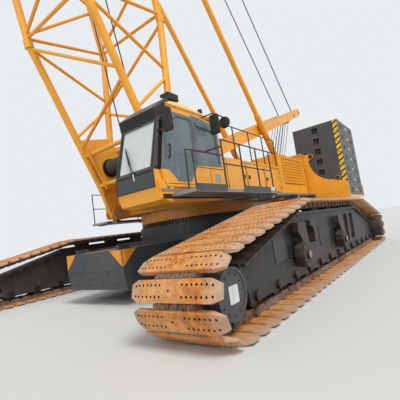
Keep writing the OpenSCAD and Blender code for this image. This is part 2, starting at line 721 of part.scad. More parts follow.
// Door hinged at its rear edge
module housing_door(side) {
    g = 10;
    color(yellow) in_row() mirror([0, side < 0 ? 1 : 0, 0]) {
        box(house_door_x[0] + g, house_door_x[1] - g, house_y - house_wall + 5, house_y,
            house_z + 90 + g, house_z + house_low - 90 - g);
        for (z = [house_z + 250, house_z + house_low - 350]) {
            translate([house_door_x[0], house_y + 24, z]) cylinder(h = 100, r = 22, $fn = 24);
            box(house_door_x[0], house_door_x[0] + 90, house_y - 10, house_y + 24, z, z + 100);
        }
    }
}
// One plain block in the place of the engine
module engine() {
    color(dark) in_row() box(house_x0 + 250, house_x1 - 300, -(house_y - 160), -(house_in + 130),
        house_z + house_wall + seat_gap, house_z + house_high - 240);
}

/* Walkways and railings */
walk_x = 620;
rail_h = 1000;
module walkways() {
    color(steel) in_row() {
        // left: beside the cab and the low housing
        box(walk_x, cab_rear - 20, house_y + 4, walk_y, deck_z - 60, deck_z - 10);
        box(cab_rear - 20 - sink, cab_front - 320, cab_y + 4, walk_y, deck_z - 60, deck_z - 10);
        box(walk_x, walk_x + 20, house_y + 4, walk_y, deck_z - 100, deck_z + 60);
        box(house_x0, walk_x + sink, house_y + 4, house_y + 300, deck_z + 10, deck_z + 60);
        // right: along the housing
        box(house_x0, house_x2, -walk_y, -house_y - 4, deck_z - 60, deck_z - 10);
        // brackets that reach the outriggers
        for (x = outrigger_x) {
            box(x - 70, x + 70, house_y - 200, house_y + 280, deck_z - 90, deck_z - seat_gap);
            box(x - 70, x + 70, house_y + 40, house_y + 280, deck_z - 90, deck_z + 14);
            box(x - 70, x + 70, -walk_y + 40, -house_y + 200, deck_z - 90, deck_z - 56);
            box(x - 70, x + 70, -house_y - 40, -house_y + 200, deck_z - 90, deck_z - seat_gap);
        }
    }
}
// Railing between two points along X: posts and two rails
module railing(x0, x1, y, z0, h, n) {
    for (i = [0 : n]) bar([x0 + (x1 - x0) * i / n, y, z0], [x0 + (x1 - x0) * i / n, y, z0 + h], 34, 16);
    for (k = [0.52, 1]) bar([x0 - 10, y, z0 + h * k - 10], [x1 + 10, y, z0 + h * k - 10], 28, 16);
}
module railings() {
    color(dark) in_row() {
        railing(walk_x + 80, cab_rear + 890, walk_y - 30, deck_z - 10 + seat_gap, rail_h, 3);
        railing(house_x1 + 50, house_x2 - 80, house_y - 60, house_z + house_low + seat_gap, rail_h - 100, 4);
        railing(house_x0 + 150, house_x2 - 80, -(walk_y - 30), deck_z - 10 + seat_gap, rail_h, 6);
    }
}

/* Counterweights */
wing_x = stack_front + 20;
wing_t = 60;
eye_r = 95;
eye_bore = 32;
wing_top = tray_z + 1970;
// Lifting eyes of a wing plate: [distance from the middle plane, height]
wing_eyes = [[stack_in + 545, tray_z + 1770], [stack_out - 310, tray_z + 770]];
function arc(cx, cz, r, a0, a1, n) = [for (i = [0 : n]) let (a = a0 + (a1 - a0) * i / n) [cx + r * cos(a), cz + r * sin(a)]];
module wing_outline() {
    // across the crane: X here is the distance from the middle plane
    polygon(concat(
        [[deck_y + seat_gap, deck_z + 30], [deck_y + seat_gap, wing_top - 70], [stack_in - 440, wing_top + 15]],
        [[stack_in + 190, wing_top], [stack_in + 390, wing_top - 140]],
        arc(stack_out - 380, tray_z + 1610, 870, 182, 262, 10),
        [[stack_out + 5, tray_z + 590], [stack_out + 20, tray_z], [stack_in - 40, tray_z]],
        [[stack_in - 440, deck_z - 100]]
    ));
}
module counterweight_frame() {
    color(yellow) in_row() both_sides() {
        difference() {
            union() {
                translate([wing_x, 0, 0]) rotate([90, 0, 90]) linear_extrude(wing_t) wing_outline();
                // lifting eyes
                for (e = wing_eyes) translate([wing_x, e[0], e[1]]) rotate([0, 90, 0]) cylinder(h = wing_t, r = eye_r, $fn = 32);
                // root of the upper eye
                translate([wing_x, 0, 0]) rotate([90, 0, 90]) linear_extrude(wing_t) polygon([
                    [stack_in + 300, wing_eyes[0][1] + 100], wing_eyes[0] + [0, eye_r], wing_eyes[0] - [0, eye_r],
                    [stack_in + 300, wing_eyes[0][1] - 220]
                ]);
                // tray under the slabs
                box(stack_front - slab_l - 120, wing_x + sink, stack_in - 60, stack_out + 20, tray_z, tray_z + tray_t);
                // beam from the platform to the tray
                box(stack_front - slab_l + 300, stack_front - 300, deck_y + seat_gap, stack_in - 60 + sink, deck_z + 60, deck_z + 330);
                box(stack_front - slab_l + 300, stack_front - 300, stack_in - 360, stack_in - 54, tray_z, deck_z + 330);
                // end post of the tray
                box(stack_front - slab_l - 120, stack_front - slab_l - 60, stack_out - 160, stack_out + 20,
                    tray_z + tray_t - sink, tray_z + tray_t + 420);
            }
            for (e = wing_eyes) translate([wing_x - 10, e[0], e[1]]) rotate([0, 90, 0])
                cylinder(h = wing_t + 20, r = eye_bore, $fn = 24);
        }
    }
}
module counterweight_slabs() {
    g = 0.4;
    color(slate) in_row() both_sides() for (i = [0 : slab_n - 1]) {
        z0 = tray_z + tray_t + seat_gap + i * slab_h;
        difference() {
            box(stack_front - slab_l, stack_front - seat_gap, stack_in, stack_out, z0, z0 + slab_h - g);
            box(stack_front - 130, stack_front + 10, (stack_in + stack_out) / 2 - 110, (stack_in + stack_out) / 2 + 110,
                z0 + 90, z0 + slab_h - 110);
            for (x = [stack_front - 500, stack_front - slab_l + 500])
                box(x - 60, x + 60, stack_out - 70, stack_out + 10, z0 + 120, z0 + slab_h - 120);
        }
    }
}

/* Boom. Local frame: X along the boom from its pivot, Z to its rear face */
module in_boom() { translate([foot_x, 0, foot_z]) rotate([0, -boom_angle, 0]) children(); }
// Lacing tube between chord points a and b, cut short so that it ends inside the chords
module lace(a, b, axis = [1, 0, 0], d = lace_d) {
    u = (b - a) / norm(b - a);
    s = norm(cross(u, axis));
    cut = chord_d * 0.32 / s;
    bar(a + u * cut, b - u * cut, d, 20);
}
// Half depth and half width at distance u
function half_w(u) = u < taper_l ? 30 + (boom_w - 30) * u / taper_l : boom_w;
function corner(u, sy, sw) = [u, sy * boom_y, sw * half_w(u)];
lace_off = 95;
// Collar around a chord where it bends
module knee(u, sy, sw) {
    translate([u - 90, sy * boom_y, sw * boom_w]) rotate([0, 90, 0]) cylinder(h = 180, d = chord_d + 40, $fn = 32);
}
// Straight lattice from u0 to u1 in n panels, lacing in four faces
module lattice(u0, u1, n) {
    for (sy = [-1, 1], sw = [-1, 1]) bar(corner(u0, sy, sw), corner(u1, sy, sw), chord_d, 32);
    p = (u1 - u0 - 300) / n;
    for (i = [0 : n - 1]) {
        a = u0 + 150 + i * p + lace_off;
        b = u0 + 150 + (i + 1) * p - lace_off;
        for (s = [-1, 1]) {
            k = i % 2 == 0 ? 1 : -1;
            lace(corner(a, s, -k), corner(b, s, k));
            lace(corner(a, -k, s), corner(b, k, s));
        }
    }
    for (u = [u0 + 150, u1 - 150], sw = [-1, 1]) lace(corner(u, -1, sw), corner(u, 1, sw));
    for (u = [u0 + 150, u1 - 150], sy = [-1, 1]) lace(corner(u, sy, -1), corner(u, sy, 1));
}
plate_u = 2150;
drum_u = 1250;
section_gap = 0.3;
module boom_foot() {
    color(yellow) in_row() in_boom() {
        difference() {
            union() {
                lattice(taper_l, foot_l - section_gap / 2, 3);
                for (sy = [-1, 1]) {
                    for (sw = [-1, 1]) {
                        bar(corner(640, sy, sw), [taper_l + 36, sy * boom_y, sw * (boom_w + 9)], chord_d, 32);
                        knee(taper_l, sy, sw);
                    }
                    // side plate with the thick foot around the pivot pin
                    side_plate(sy * boom_y - 20, sy * boom_y + 20) polygon([
                        [500, -half_w(500)], [plate_u, -half_w(plate_u)], [plate_u, half_w(plate_u)], [500, half_w(500)]
                    ]);
                    side_plate(sy * boom_y - 60, sy * boom_y + 60) polygon([[0, -165], [760, -270], [760, 270], [0, 165]]);
                    along_y(0, 0, 165, sy * boom_y - 60, sy * boom_y + 60);
                    along_y(0, 0, foot_pin_r, sy * boom_y - 170, sy * boom_y + 170);
                    // side lacing of the tapered part
                    lace([plate_u + 60, sy * boom_y, -half_w(plate_u + 60)], [3050, sy * boom_y, half_w(3050)]);
                    lace([3050 + 2 * lace_off, sy * boom_y, half_w(3050 + 2 * lace_off)], [taper_l - 80, sy * boom_y, -half_w(taper_l - 80)]);
                }
                for (sw = [-1, 1]) {
                    lace(corner(2900, -sw, sw), corner(1900, sw, sw));
                    lace(corner(2900 + 2 * lace_off, -sw, sw), corner(taper_l - 100, sw, sw));
                    lace(corner(850, -1, sw), corner(850, 1, sw), d = 110);
                    lace(corner(1700, -1, sw), corner(1700, 1, sw), d = 110);
                }
                // cheeks of the winch drum, held by the cross tubes
                for (sy = [-1, 1]) side_plate(sy * 900 - 25, sy * 900 + 25)
                    polygon([[720, -300], [1830, -560], [1830, 560], [720, 300]]);
            }
            along_y(drum_u, 0, 60 + run_fit, -950, 950, 40);
        }
    }
}
module main_drum() {
    color(dark) in_row() in_boom() {
        along_y(drum_u, 0, 60, -925, 925, 40);
        along_y(drum_u, 0, drum_r * 0.65, -900 + 25 + swing_gap, 900 - 25 - swing_gap);
        for (s = [-1, 1]) along_y(drum_u, 0, drum_r * 0.85, min(s * 813, s * 863), max(s * 813, s * 863), 64);
    }
}
module boom_middle() {
    color(yellow) in_row() in_boom() {
        lattice(foot_l + section_gap / 2, foot_l + mid_l - section_gap / 2, 3);
        // cross tube and forks for the backstops, which end freely between the fork plates
        lace(corner(stop_u, -1, 1), corner(stop_u, 1, 1), d = 120);
        for (sy = [-1, 1], e = [stop_y - fork_in - 30, stop_y + fork_in])
            side_plate(min(sy * e, sy * (e + 30)), max(sy * e, sy * (e + 30))) polygon([
                [stop_u - 170, boom_w - 30], [stop_u + 170, boom_w - 30], [stop_u + 120, stop_w + 60],
                [stop_u + 60, stop_w + 110], [stop_u - 60, stop_w + 110], [stop_u - 120, stop_w + 60]
            ]);
    }
}
module boom_head() {
    u0 = foot_l + mid_l + section_gap / 2;
    u1 = boom_l - 2600;
    color(yellow) in_row() in_boom() difference() {
        union() {
            lattice(u0, u1, 3);
            // chords drawn in towards the head plates
            for (sy = [-1, 1], sw = [-1, 1]) {
                bar(corner(u1 - 30, sy, sw), [boom_l - 600, sy * 640, sw * 450 - 100], chord_d, 32);
                knee(u1, sy, sw);
            }
            for (s = [-1, 1]) {
                lace(corner(u1 + 120, -s, s), [boom_l - 1500, s * 900, s * 720 - 60]);
            }
            // head plates that carry the sheaves
            for (y = [-560, 560]) side_plate(y - 40, y + 40) polygon([
                [boom_l - 1300, -700], [head_u - 330, -head_w - 60], [head_u - 200, -head_w - 260], [head_u + 120, -head_w - 240],
                [head_u + 260, -head_w], [boom_l, -640], [boom_l, 300], [boom_l - 300, 560], [boom_l - 1300, 560]
            ]);
            for (p = [[boom_l - 1000, 300], [boom_l - 1100, -500], [boom_l - 200, 220]]) bar([p[0], -580, p[1]], [p[0], 580, p[1]], 120, 24);
            // feet of the head plates on the chords
            for (sy = [-1, 1], sw = [-1, 1]) box(boom_l - 1250, boom_l - 700, min(sy * 560, sy * 800), max(sy * 560, sy * 800),
                sw * 500 - 130, sw * 500 - 80);
        }
        along_y(head_u, -head_w, 60 + run_fit, -620, 620, 40);
        along_y(boom_l - 620, 300, 50 + run_fit, -620, 620, 40);
    }
}
sheave_n = 6;
module head_sheaves() {
    color(dark) in_row() in_boom() {
        along_y(head_u, -head_w, 60, -600, 600, 40);
        for (i = [0 : sheave_n - 1]) {
            y = (i - (sheave_n - 1) / 2) * 140;
            along_y(head_u, -head_w, sheave_r, y - 40, y + 40, 64);
        }
    }
}

/* Mast. Local frame: X along the mast from its pivot, Z towards the ground side */
mast_bays = 3;
// Place of a cross tube along the mast
function tie_u(i) = 1500 + i * (mast_l - 3500) / mast_bays;
module in_mast() { translate([mast_x, 0, mast_z]) rotate([0, -mast_angle, 0]) children(); }
module mast() {
    color(yellow) in_row() in_mast() difference() {
        union() {
            for (s = [-1, 1]) {
                along_y(0, 0, mast_h * 0.42, s * mast_y - mast_w / 2, s * mast_y + mast_w / 2);
                along_y(0, 0, 60, s * mast_y - mast_w / 2 - 74, s * mast_y + mast_w / 2 + 74, 40);
                side_plate(s * mast_y - mast_w / 2, s * mast_y + mast_w / 2) polygon([
                    [0, -mast_h * 0.4], [900, -mast_h / 2], [mast_l, -mast_h / 2], [mast_l, mast_h / 2], [900, mast_h / 2], [0, mast_h * 0.4]
                ]);
                along_y(mast_l, 0, mast_h / 2, s * mast_y - mast_w / 2, s * mast_y + mast_w / 2);
            }
            for (i = [0 : mast_bays]) bar([tie_u(i), -mast_y, 0], [tie_u(i), mast_y, 0], 160, 24);
            for (s = [-1, 1], i = [0, mast_bays - 1])
                bar([tie_u(i) + 80, -s * mast_y, 0], [tie_u(i + 1) - 100, s * mast_y, 0], 90, 20);
        }
        along_y(mast_l, 0, 60 + run_fit, -mast_y - mast_w, mast_y + mast_w, 40);
        along_y(mast_l - 900, 60, 55 + run_fit, -mast_y - mast_w, mast_y + mast_w, 40);
    }
}

/* Luffing blocks: one hangs from the mast, one stands at the rear of the platform */
mast_pin = [mast_x + (mast_l - 900) * cos(mast_angle) - 60 * sin(mast_angle), mast_z + (mast_l - 900) * sin(mast_angle) + 60 * cos(mast_angle)];
rope_a = atan2(mast_pin.y - block_z, mast_pin.x - block_x);
module mast_block() {
    color(dark) in_row() {
        along_y(mast_pin.x, mast_pin.y, 55, -mast_y - mast_w / 2, mast_y + mast_w / 2, 40);
        translate([mast_pin.x, 0, mast_pin.y]) rotate([0, -rope_a, 0]) {
            for (i = [0 : 4]) along_y(-40, 0, 260, (i - 2) * 150 - 50, (i - 2) * 150 + 50, 48);
        }
    }
}
module frame_block() {
    color(dark) in_row() {
        along_y(block_x, block_z, 50, -530, 530, 40);
        translate([block_x, 0, block_z]) rotate([0, -rope_a, 0])
            for (i = [0 : 4]) along_y(0, 0, 220, (i - 2) * 150 - 50, (i - 2) * 150 + 50, 48);
    }
}

/* Pendants: two bars from the mast head to the boom head */
pend_y = 380;
mast_tip = [mast_x + mast_l * cos(mast_angle), mast_z + mast_l * sin(mast_angle)];
pend_b = [foot_x + (boom_l - 620) * cos(boom_angle) - 300 * sin(boom_angle), foot_z + (boom_l - 620) * sin(boom_angle) + 300 * cos(boom_angle)];
module pendants() {
    color(steel) in_row() {
        for (s = [-1, 1]) {
            bar([mast_tip.x, s * pend_y, mast_tip.y], [pend_b.x, s * pend_y, pend_b.y], 60, 20);
            along_y(pend_b.x, pend_b.y, 110, s * pend_y - 35, s * pend_y + 35, 32);
        }
        along_y(pend_b.x, pend_b.y, 50, -600, 600, 40);
    }
}

/* Backstops: three telescoping tubes on each side */
stop_pin_r = 50;
fork_in = 125;
stop_end = [foot_x + stop_u * cos(boom_angle) - stop_w * sin(boom_angle), foot_z + stop_u * sin(boom_angle) + stop_w * cos(boom_angle)];
stop_angle = atan2(stop_end.y - stop_z, stop_end.x + stop_x);
stop_l = norm([stop_end.x + stop_x, stop_end.y - stop_z]);
middle_from = 720;
middle_l = 8100;
upper_from = 5200;
module in_stop(s) { translate([-stop_x, s * stop_y, stop_z]) rotate([0, -stop_angle, 0]) children(); }
module tube_x(x0, x1, r_out, r_in) {
    translate([x0, 0, 0]) rotate([0, 90, 0]) difference() {
        cylinder(h = x1 - x0, r = r_out, $fn = 48);
        if (r_in > 0) translate([0, 0, -1]) cylinder(h = x1 - x0 + 2, r = r_in, $fn = 48);
    }
}
module backstop_sleeves() {
    color(yellow) in_row() for (s = [-1, 1]) in_stop(s) {
        tube_x(330, sleeve_l, sleeve_r, middle_r + 0.3);
        tube_x(140, 340, sleeve_r, 0);
        along_y(0, 0, sleeve_r, -sleeve_r + 10, sleeve_r - 10);
        box(-20, 200, -sleeve_r + 20, sleeve_r - 20, -90, 90);
        along_y(0, 0, stop_pin_r, -sleeve_r - 80, sleeve_r + 80, 32);
    }
}
module backstop_middles() {
    color(yellow) in_row() for (s = [-1, 1]) in_stop(s) {
        tube_x(middle_from, middle_from + middle_l, middle_r, upper_r + 0.3);
    }
}
module backstop_uppers() {
    color(yellow) in_row() for (s = [-1, 1]) in_stop(s) {
        tube_x(upper_from, stop_l, upper_r, 0);
        along_y(stop_l, 0, upper_r + 14, -90, 90, 40);
    }
}

/* Hook block, which hangs from the head sheaves */
hook_z = head_c.y - hook_drop;
rope_d = 28;
module hook_block() {
    color(dark) in_row() {
        for (s = [-1, 1]) side_plate(s * 330 - 25, s * 330 + 25) polygon([
            [head_c.x - 320, hook_z + 60], [head_c.x - 150, hook_z - 620], [head_c.x + 150, hook_z - 620],
            [head_c.x + 320, hook_z + 60], [head_c.x + 200, hook_z + 330], [head_c.x - 200, hook_z + 330]
        ]);
        along_y(head_c.x, hook_z, 60, -380, 380, 32);
        for (i = [0 : 3]) along_y(head_c.x, hook_z, 330, (i - 1.5) * 140 - 45, (i - 1.5) * 140 + 45, 48);
        difference() {
            box(head_c.x - 140, head_c.x + 140, -330, 330, hook_z - 620, hook_z - 400);
            translate([head_c.x, 0, hook_z - 700]) cylinder(h = 400, r = 70 + run_fit, $fn = 40);
        }
        // falls of the hoist rope
        for (i = [0 : 3], s = [-1, 1]) bar([head_c.x + s * 320, (i - 1.5) * 140, hook_z],
            [head_c.x + s * (sheave_r + rope_d / 2 + seat_gap), (i - 1.5) * 140, head_c.y], rope_d, 12);
    }
}
module hook() {
    zc = hook_z - 1150;
    color(dark) in_row() {
        translate([head_c.x, 0, hook_z - 860]) cylinder(h = 500, r = 70, $fn = 40);
        translate([head_c.x, 0, hook_z - 400 + seat_gap]) cylinder(h = 45, r = 105, $fn = 40);
        translate([head_c.x, 0, hook_z - 900]) cylinder(h = 280 - seat_gap, r = 110, $fn = 40);
        translate([head_c.x, 0, zc]) rotate([90, 0, 0]) {
            rotate([0, 0, -130]) rotate_extrude(angle = 250, $fn = 64) translate([230, 0]) circle(r = 85, $fn = 32);
        }
        bar([head_c.x, 0, hook_z - 880], [head_c.x + 90, 0, hook_z - 950], 150);
    }
}

carbody();
ballast_blocks();
ring_lower();
crawler_frame(1);  // crawler_frame_left
crawler_frame(-1);  // crawler_frame_right
track(1);  // track_left
track(-1);  // track_right
idlers();
drive_wheels();
rollers();
side_lugs();
ring_upper();
main_frame();
cab_shell();
cab_roof();
cab_door();
cab_glass();
door_glass();
cab_seat();
mirrors();
housing(1);  // housing_left
housing(-1);  // housing_right
housing_door(1);  // housing_door_left
housing_door(-1);  // housing_door_right
engine();
walkways();
railings();
counterweight_frame();
counterweight_slabs();
deck_drum(drum_rows[0]);  // luffing_drum
deck_drum(drum_rows[1]);  // second_drum
mast();
mast_block();
frame_block();
boom_foot();
boom_middle();
boom_head();
main_drum();
head_sheaves();
pendants();
backstop_sleeves();
backstop_middles();
backstop_uppers();
hook_block();
hook();
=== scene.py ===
"""Crawler crane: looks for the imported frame. Run as a script; laid out as an add-on."""
import json
import math

import bmesh
import bpy
from mathutils import Matrix, Vector


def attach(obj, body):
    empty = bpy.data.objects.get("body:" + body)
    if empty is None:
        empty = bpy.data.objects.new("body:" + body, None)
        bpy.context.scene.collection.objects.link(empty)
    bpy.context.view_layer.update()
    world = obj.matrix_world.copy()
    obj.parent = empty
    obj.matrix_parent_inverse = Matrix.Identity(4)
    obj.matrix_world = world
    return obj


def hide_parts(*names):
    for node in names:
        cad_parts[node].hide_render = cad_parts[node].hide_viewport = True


bl_info = {
    "name": "Crawler Crane Dressing",
    "version": (1, 0, 0),
    "blender": (4, 5, 0),
    "location": "View3D > Sidebar > Crane",
    "description": "Dresses a packed crawler crane with detailed pieces and worn finishes",
    "category": "Object",
}

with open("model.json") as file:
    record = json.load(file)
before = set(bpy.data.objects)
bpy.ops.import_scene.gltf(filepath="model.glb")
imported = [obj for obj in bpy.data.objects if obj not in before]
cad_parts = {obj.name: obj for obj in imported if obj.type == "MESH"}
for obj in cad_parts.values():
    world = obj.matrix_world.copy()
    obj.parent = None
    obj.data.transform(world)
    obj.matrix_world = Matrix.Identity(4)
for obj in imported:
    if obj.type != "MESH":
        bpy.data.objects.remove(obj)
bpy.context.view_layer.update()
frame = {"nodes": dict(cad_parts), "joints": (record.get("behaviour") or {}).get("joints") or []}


def joint_place(name):
    """Where the frame's joint of that name sits."""
    return Vector(next(j for j in frame["joints"] if j["name"] == name)["pos_m"])


def placer(pivot, tilt):
    """Puts points on a tilted arm: u along it from its pivot, y across, w towards its rear face."""
    c, s = math.cos(tilt), math.sin(tilt)
    return lambda u, y, w: pivot + Vector((u * c - w * s, y, u * s + w * c))


SLEW_X = joint_place("slew").x
BOOM_PIVOT = joint_place("boom_luff")
DRUM_AXLE = joint_place("main_drum_spin")
BOOM_TILT = math.atan2(DRUM_AXLE.z - BOOM_PIVOT.z, DRUM_AXLE.x - BOOM_PIVOT.x)
MAST_TILT = math.radians(160)
on_boom = placer(BOOM_PIVOT, BOOM_TILT)
on_mast = placer(joint_place("mast_luff"), MAST_TILT)

# The photograph, and the camera as it stood, measured from the slewing axis
IMAGE_PX = 400
SENSOR_MM = 36.0
CAMERA_PLACE = (8.068, 6.133, 1.262)
CAMERA_YAW = math.radians(216.44)
CAMERA_PITCH = math.radians(5.585)
CAMERA_ROLL = math.radians(-8.184)
CAMERA_FOCAL_PX = 319.7
FAR_CLIP = 500.0
FLOOR_HALF = 160.0

# Rounding of the pieces, and how deep a bolt's head is sunk
SHARP_ANGLE = math.radians(32)
BEVEL_ANGLE = math.radians(38)
BOLT_ROOT = 0.004

MATS = {}


# Small helpers

def at(x, y, z):
    """A point given from the slewing axis, in the row's frame."""
    return Vector((x + SLEW_X, y, z))


def add_to_scene(name, data):
    """A new object in the scene."""
    made = bpy.data.objects.new(name, data)
    bpy.context.scene.collection.objects.link(made)
    return made


def to_mesh(name, bm):
    """A mesh from a bmesh, which is freed."""
    mesh = bpy.data.meshes.new(name)
    bm.to_mesh(mesh)
    bm.free()
    return mesh


def new_piece(name, bm, body, finishes, smooth=False, bevel=0.0, replaces=()):
    """A mesh piece from a bmesh, riding on a body. Its finishes are keys of MATS in one string."""
    bmesh.ops.recalc_face_normals(bm, faces=bm.faces)
    mesh = to_mesh(name, bm)
    piece = add_to_scene(name, mesh)
    for key in finishes.split():
        mesh.materials.append(MATS[key])
    if smooth:
        mesh.shade_smooth()
        mesh.set_sharp_from_angle(angle=SHARP_ANGLE)
    if bevel:
        soft = piece.modifiers.new("Soft edges", "BEVEL")
        soft.width = bevel
        soft.segments = 2
        soft.limit_method = "ANGLE"
        soft.angle_limit = BEVEL_ANGLE
    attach(piece, body)
    if replaces:
        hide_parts(*replaces)
    return piece


def circle(r, n, x=0.0, z=0.0):
    """Points (x, z) on a circle."""
    angles = [2 * math.pi * i / n for i in range(n)]
    return [(x + r * math.cos(t), z + r * math.sin(t)) for t in angles]


def join_rings(bm, rings, mat=0, capped=True):
    """Walls between rings of as many vertices, and a face over each end."""
    faces = [bm.faces.new(list(reversed(rings[0]))), bm.faces.new(rings[-1])] if capped else []
    sides = len(rings[0])
    for low, high in zip(rings, rings[1:]):
        for i in range(sides):
            j = (i + 1) % sides
            faces.append(bm.faces.new((low[i], low[j], high[j], high[i])))
    for f in faces:
        f.material_index = mat


def add_box(bm, lo, hi, mat=0):
    """A box between two corners."""
    lo, hi = Vector(lo), Vector(hi)
    made = bmesh.ops.create_cube(bm, size=1.0)["verts"]
    for v in made:
        v.co = Vector([(lo[i] + hi[i]) / 2 + v.co[i] * (hi[i] - lo[i]) for i in range(3)])
    for f in {f for v in made for f in v.link_faces}:
        f.material_index = mat


def add_boxes(bm, boxes):
    """Boxes given as (x0, x1, y0, y1, z0, z1, finish), measured from the slewing axis."""
    for x0, x1, y0, y1, z0, z1, mat in boxes:
        add_box(bm, at(x0, y0, z0), at(x1, y1, z1), mat)


def between(a, b, pitch):
    """Evenly spaced values between two ends, about a pitch apart."""
    n = round((b - a) / pitch)
    return [a + (b - a) * i / n for i in range(1, n)]


def add_prism(bm, outline, place, depth, mat=0):
    """A prism: outline points put in place by a function, pushed along depth."""
    depth = Vector(depth)
    low = [bm.verts.new(place(*p)) for p in outline]
    join_rings(bm, [low, [bm.verts.new(v.co + depth) for v in low]], mat)


def add_pipe(bm, points, r, sides=8, mat=0, r2=None):
    """A bent pipe through points, r2 in radius at its last one."""
    points = [Vector(p) for p in points]
    rings = []
    for i, p in enumerate(points):
        along = points[min(i + 1, len(points) - 1)] - points[max(i - 1, 0)]
        turn = along.to_track_quat("Z", "Y").to_matrix()
        radius = r2 if r2 and p is points[-1] else r
        rings.append([bm.verts.new(p + turn @ Vector((x, y, 0))) for x, y in circle(radius, sides)])
    join_rings(bm, rings, mat)


def add_rod(bm, a, b, r, sides=10, mat=0, r2=None):
    """A round bar between two points."""
    add_pipe(bm, [a, b], r, sides, mat, r2)


def add_bolts(bm, places, along, r=0.016, h=0.014, mat=0):
    """Six-sided bolt heads at places, standing along a direction."""
    along = Vector(along).normalized()
    for p in places:
        p = Vector(p)
        add_rod(bm, p - along * BOLT_ROOT, p + along * h, r, sides=6, mat=mat)


def add_face_bolts(bm, centre, r, n, along, size=0.016, mat=0):
    """A circle of bolt heads on a round cover that looks along Y."""
    add_bolts(bm, [centre + Vector((x, 0, z)) for x, z in circle(r, n)], along, size, size * 0.8, mat)


def anticlockwise(outline):
    """The outline's points as vectors, turning to the left."""
    pts = [Vector(p) for p in outline]
    turn = sum(a.x * b.y - a.y * b.x for a, b in zip(pts, pts[1:] + pts[:1]))
    return pts if turn > 0 else pts[::-1]


def inset(outline, d):
    """An outline moved inwards by d."""
    pts = anticlockwise(outline)
    made = []
    for i, p in enumerate(pts):
        before = (p - pts[i - 1]).normalized()
        after = (pts[(i + 1) % len(pts)] - p).normalized()
        inward = Vector((-before.y - after.y, before.x + after.x)).normalized()
        lean = max(0.4, Vector((-after.y, after.x)).dot(inward))    # keeps sharp corners from running away
        made.append(p + inward * (d / lean))
    return made


def rounded(outline, r, steps=4):
    """An outline with its corners rounded, each over less than half of its sides."""
    pts = anticlockwise(outline)
    made = []
    for i, p in enumerate(pts):
        a, b = pts[i - 1] - p, pts[(i + 1) % len(pts)] - p
        a = p + a * min(r / a.length, 0.45)
        b = p + b * min(r / b.length, 0.45)
        for k in range(steps + 1):
            t = k / steps
            made.append(a * (1 - t) ** 2 + p * (2 * t * (1 - t)) + b * t * t)
    return made


def add_frame(bm, outer, inner, place, depth, mat=0):
    """A plate with a hole: two outlines with as many points, pushed along depth."""
    depth = Vector(depth)
    loops = []
    for outline in (anticlockwise(outer), anticlockwise(inner)):
        low = [bm.verts.new(place(*p)) for p in outline]
        loops.append((low, [bm.verts.new(v.co + depth) for v in low]))
    (a, a2), (b, b2) = loops
    n = len(a)
    for i in range(n):
        j = (i + 1) % n
        for quad in ((a[i], a[j], b[j], b[i]), (a2[i], b2[i], b2[j], a2[j]),
                     (a[i], a2[i], a2[j], a[j]), (b[i], b[j], b2[j], b2[i])):
            bm.faces.new(quad).material_index = mat


def add_rim(bm, outline, width, place, depth, mat=0):
    """A flat frame along an outline, width wide."""
    add_frame(bm, outline, inset(outline, width), place, depth, mat)


def side_at(y):
    """Puts outline points (x, z) on the plane at that y."""
    return lambda x, z: at(x, y, z)


def front_at(x):
    """Puts outline points (y, z) on the plane at that x."""
    return lambda y, z: at(x, y, z)


def top_at(z):
    """Puts outline points (x, y) on the plane at that height."""
    return lambda x, y: at(x, y, z)


def upright_at(p):
    """Puts outline points (x, z), measured from a point, on the upright plane through it."""
    return lambda x, z: p + Vector((x, 0, z))


def rect(x0, x1, y0, y1):
    """The corners of a rectangle."""
    return [(x0, y0), (x1, y0), (x1, y1), (x0, y1)]


# Materials

def linear(rgb):
    """Screen colour to Blender's linear colour, by the sRGB curve."""
    return tuple(c / 12.92 if c <= 0.04045 else ((c + 0.055) / 1.055) ** 2.4 for c in rgb) + (1.0,)


class Wires:
    """Shorthand to place shader nodes and join them."""

    def __init__(self, tree):
        """Works on one node tree."""
        self.tree = tree

    def join(self, source, socket):
        """Links a source to a socket, or sets the socket where the source is a plain value."""
        if hasattr(source, "links"):
            self.tree.links.new(source, socket)
        else:
            socket.default_value = source

    def node(self, kind, inputs=None, **settings):
        """A node with its settings, fed at the inputs named or numbered."""
        n = self.tree.nodes.new(kind)
        for key, value in settings.items():
            setattr(n, key, value)
        for key, source in (inputs or {}).items():
            self.join(source, n.inputs[key])
        return n

    def coords(self):
        """The object's own coordinates."""
        return self.node("ShaderNodeTexCoord").outputs["Object"]

    def noise(self, vector, scale, detail=4.0, rough=0.6):
        """Cloudy noise from 0 to 1."""
        inputs = {"Vector": vector, "Scale": scale, "Detail": detail, "Roughness": rough}
        return self.node("ShaderNodeTexNoise", inputs).outputs["Fac"]

    def math(self, op, a, b=None, clamp=False):
        """One sum on one or two values."""
        inputs = {0: a} if b is None else {0: a, 1: b}
        return self.node("ShaderNodeMath", inputs, operation=op, use_clamp=clamp).outputs[0]

    def times(self, a, b, clamp=False):
        """a times b."""
        return self.math("MULTIPLY", a, b, clamp)

    def plus(self, a, b, clamp=False):
        """a plus b."""
        return self.math("ADD", a, b, clamp)

    def ramp(self, value, low, high):
        """0 below low, 1 above high."""
        inputs = {"Value": value, "From Min": low, "From Max": high}
        return self.node("ShaderNodeMapRange", inputs, clamp=True).outputs["Result"]

    def mix(self, fac, a, b, kind="MIX"):
        """Colour a, turning into b as fac rises."""
        return self.node("ShaderNodeMix", {0: fac, 6: a, 7: b}, data_type="RGBA", blend_type=kind).outputs[2]

    def parts(self, vector):
        """The X, Y and Z of a vector."""
        return self.node("ShaderNodeSeparateXYZ", {0: vector}).outputs

    def bump(self, height, strength, distance):
        """A normal that follows a height."""
        inputs = {"Height": height, "Strength": strength, "Distance": distance}
        return self.node("ShaderNodeBump", inputs).outputs["Normal"]


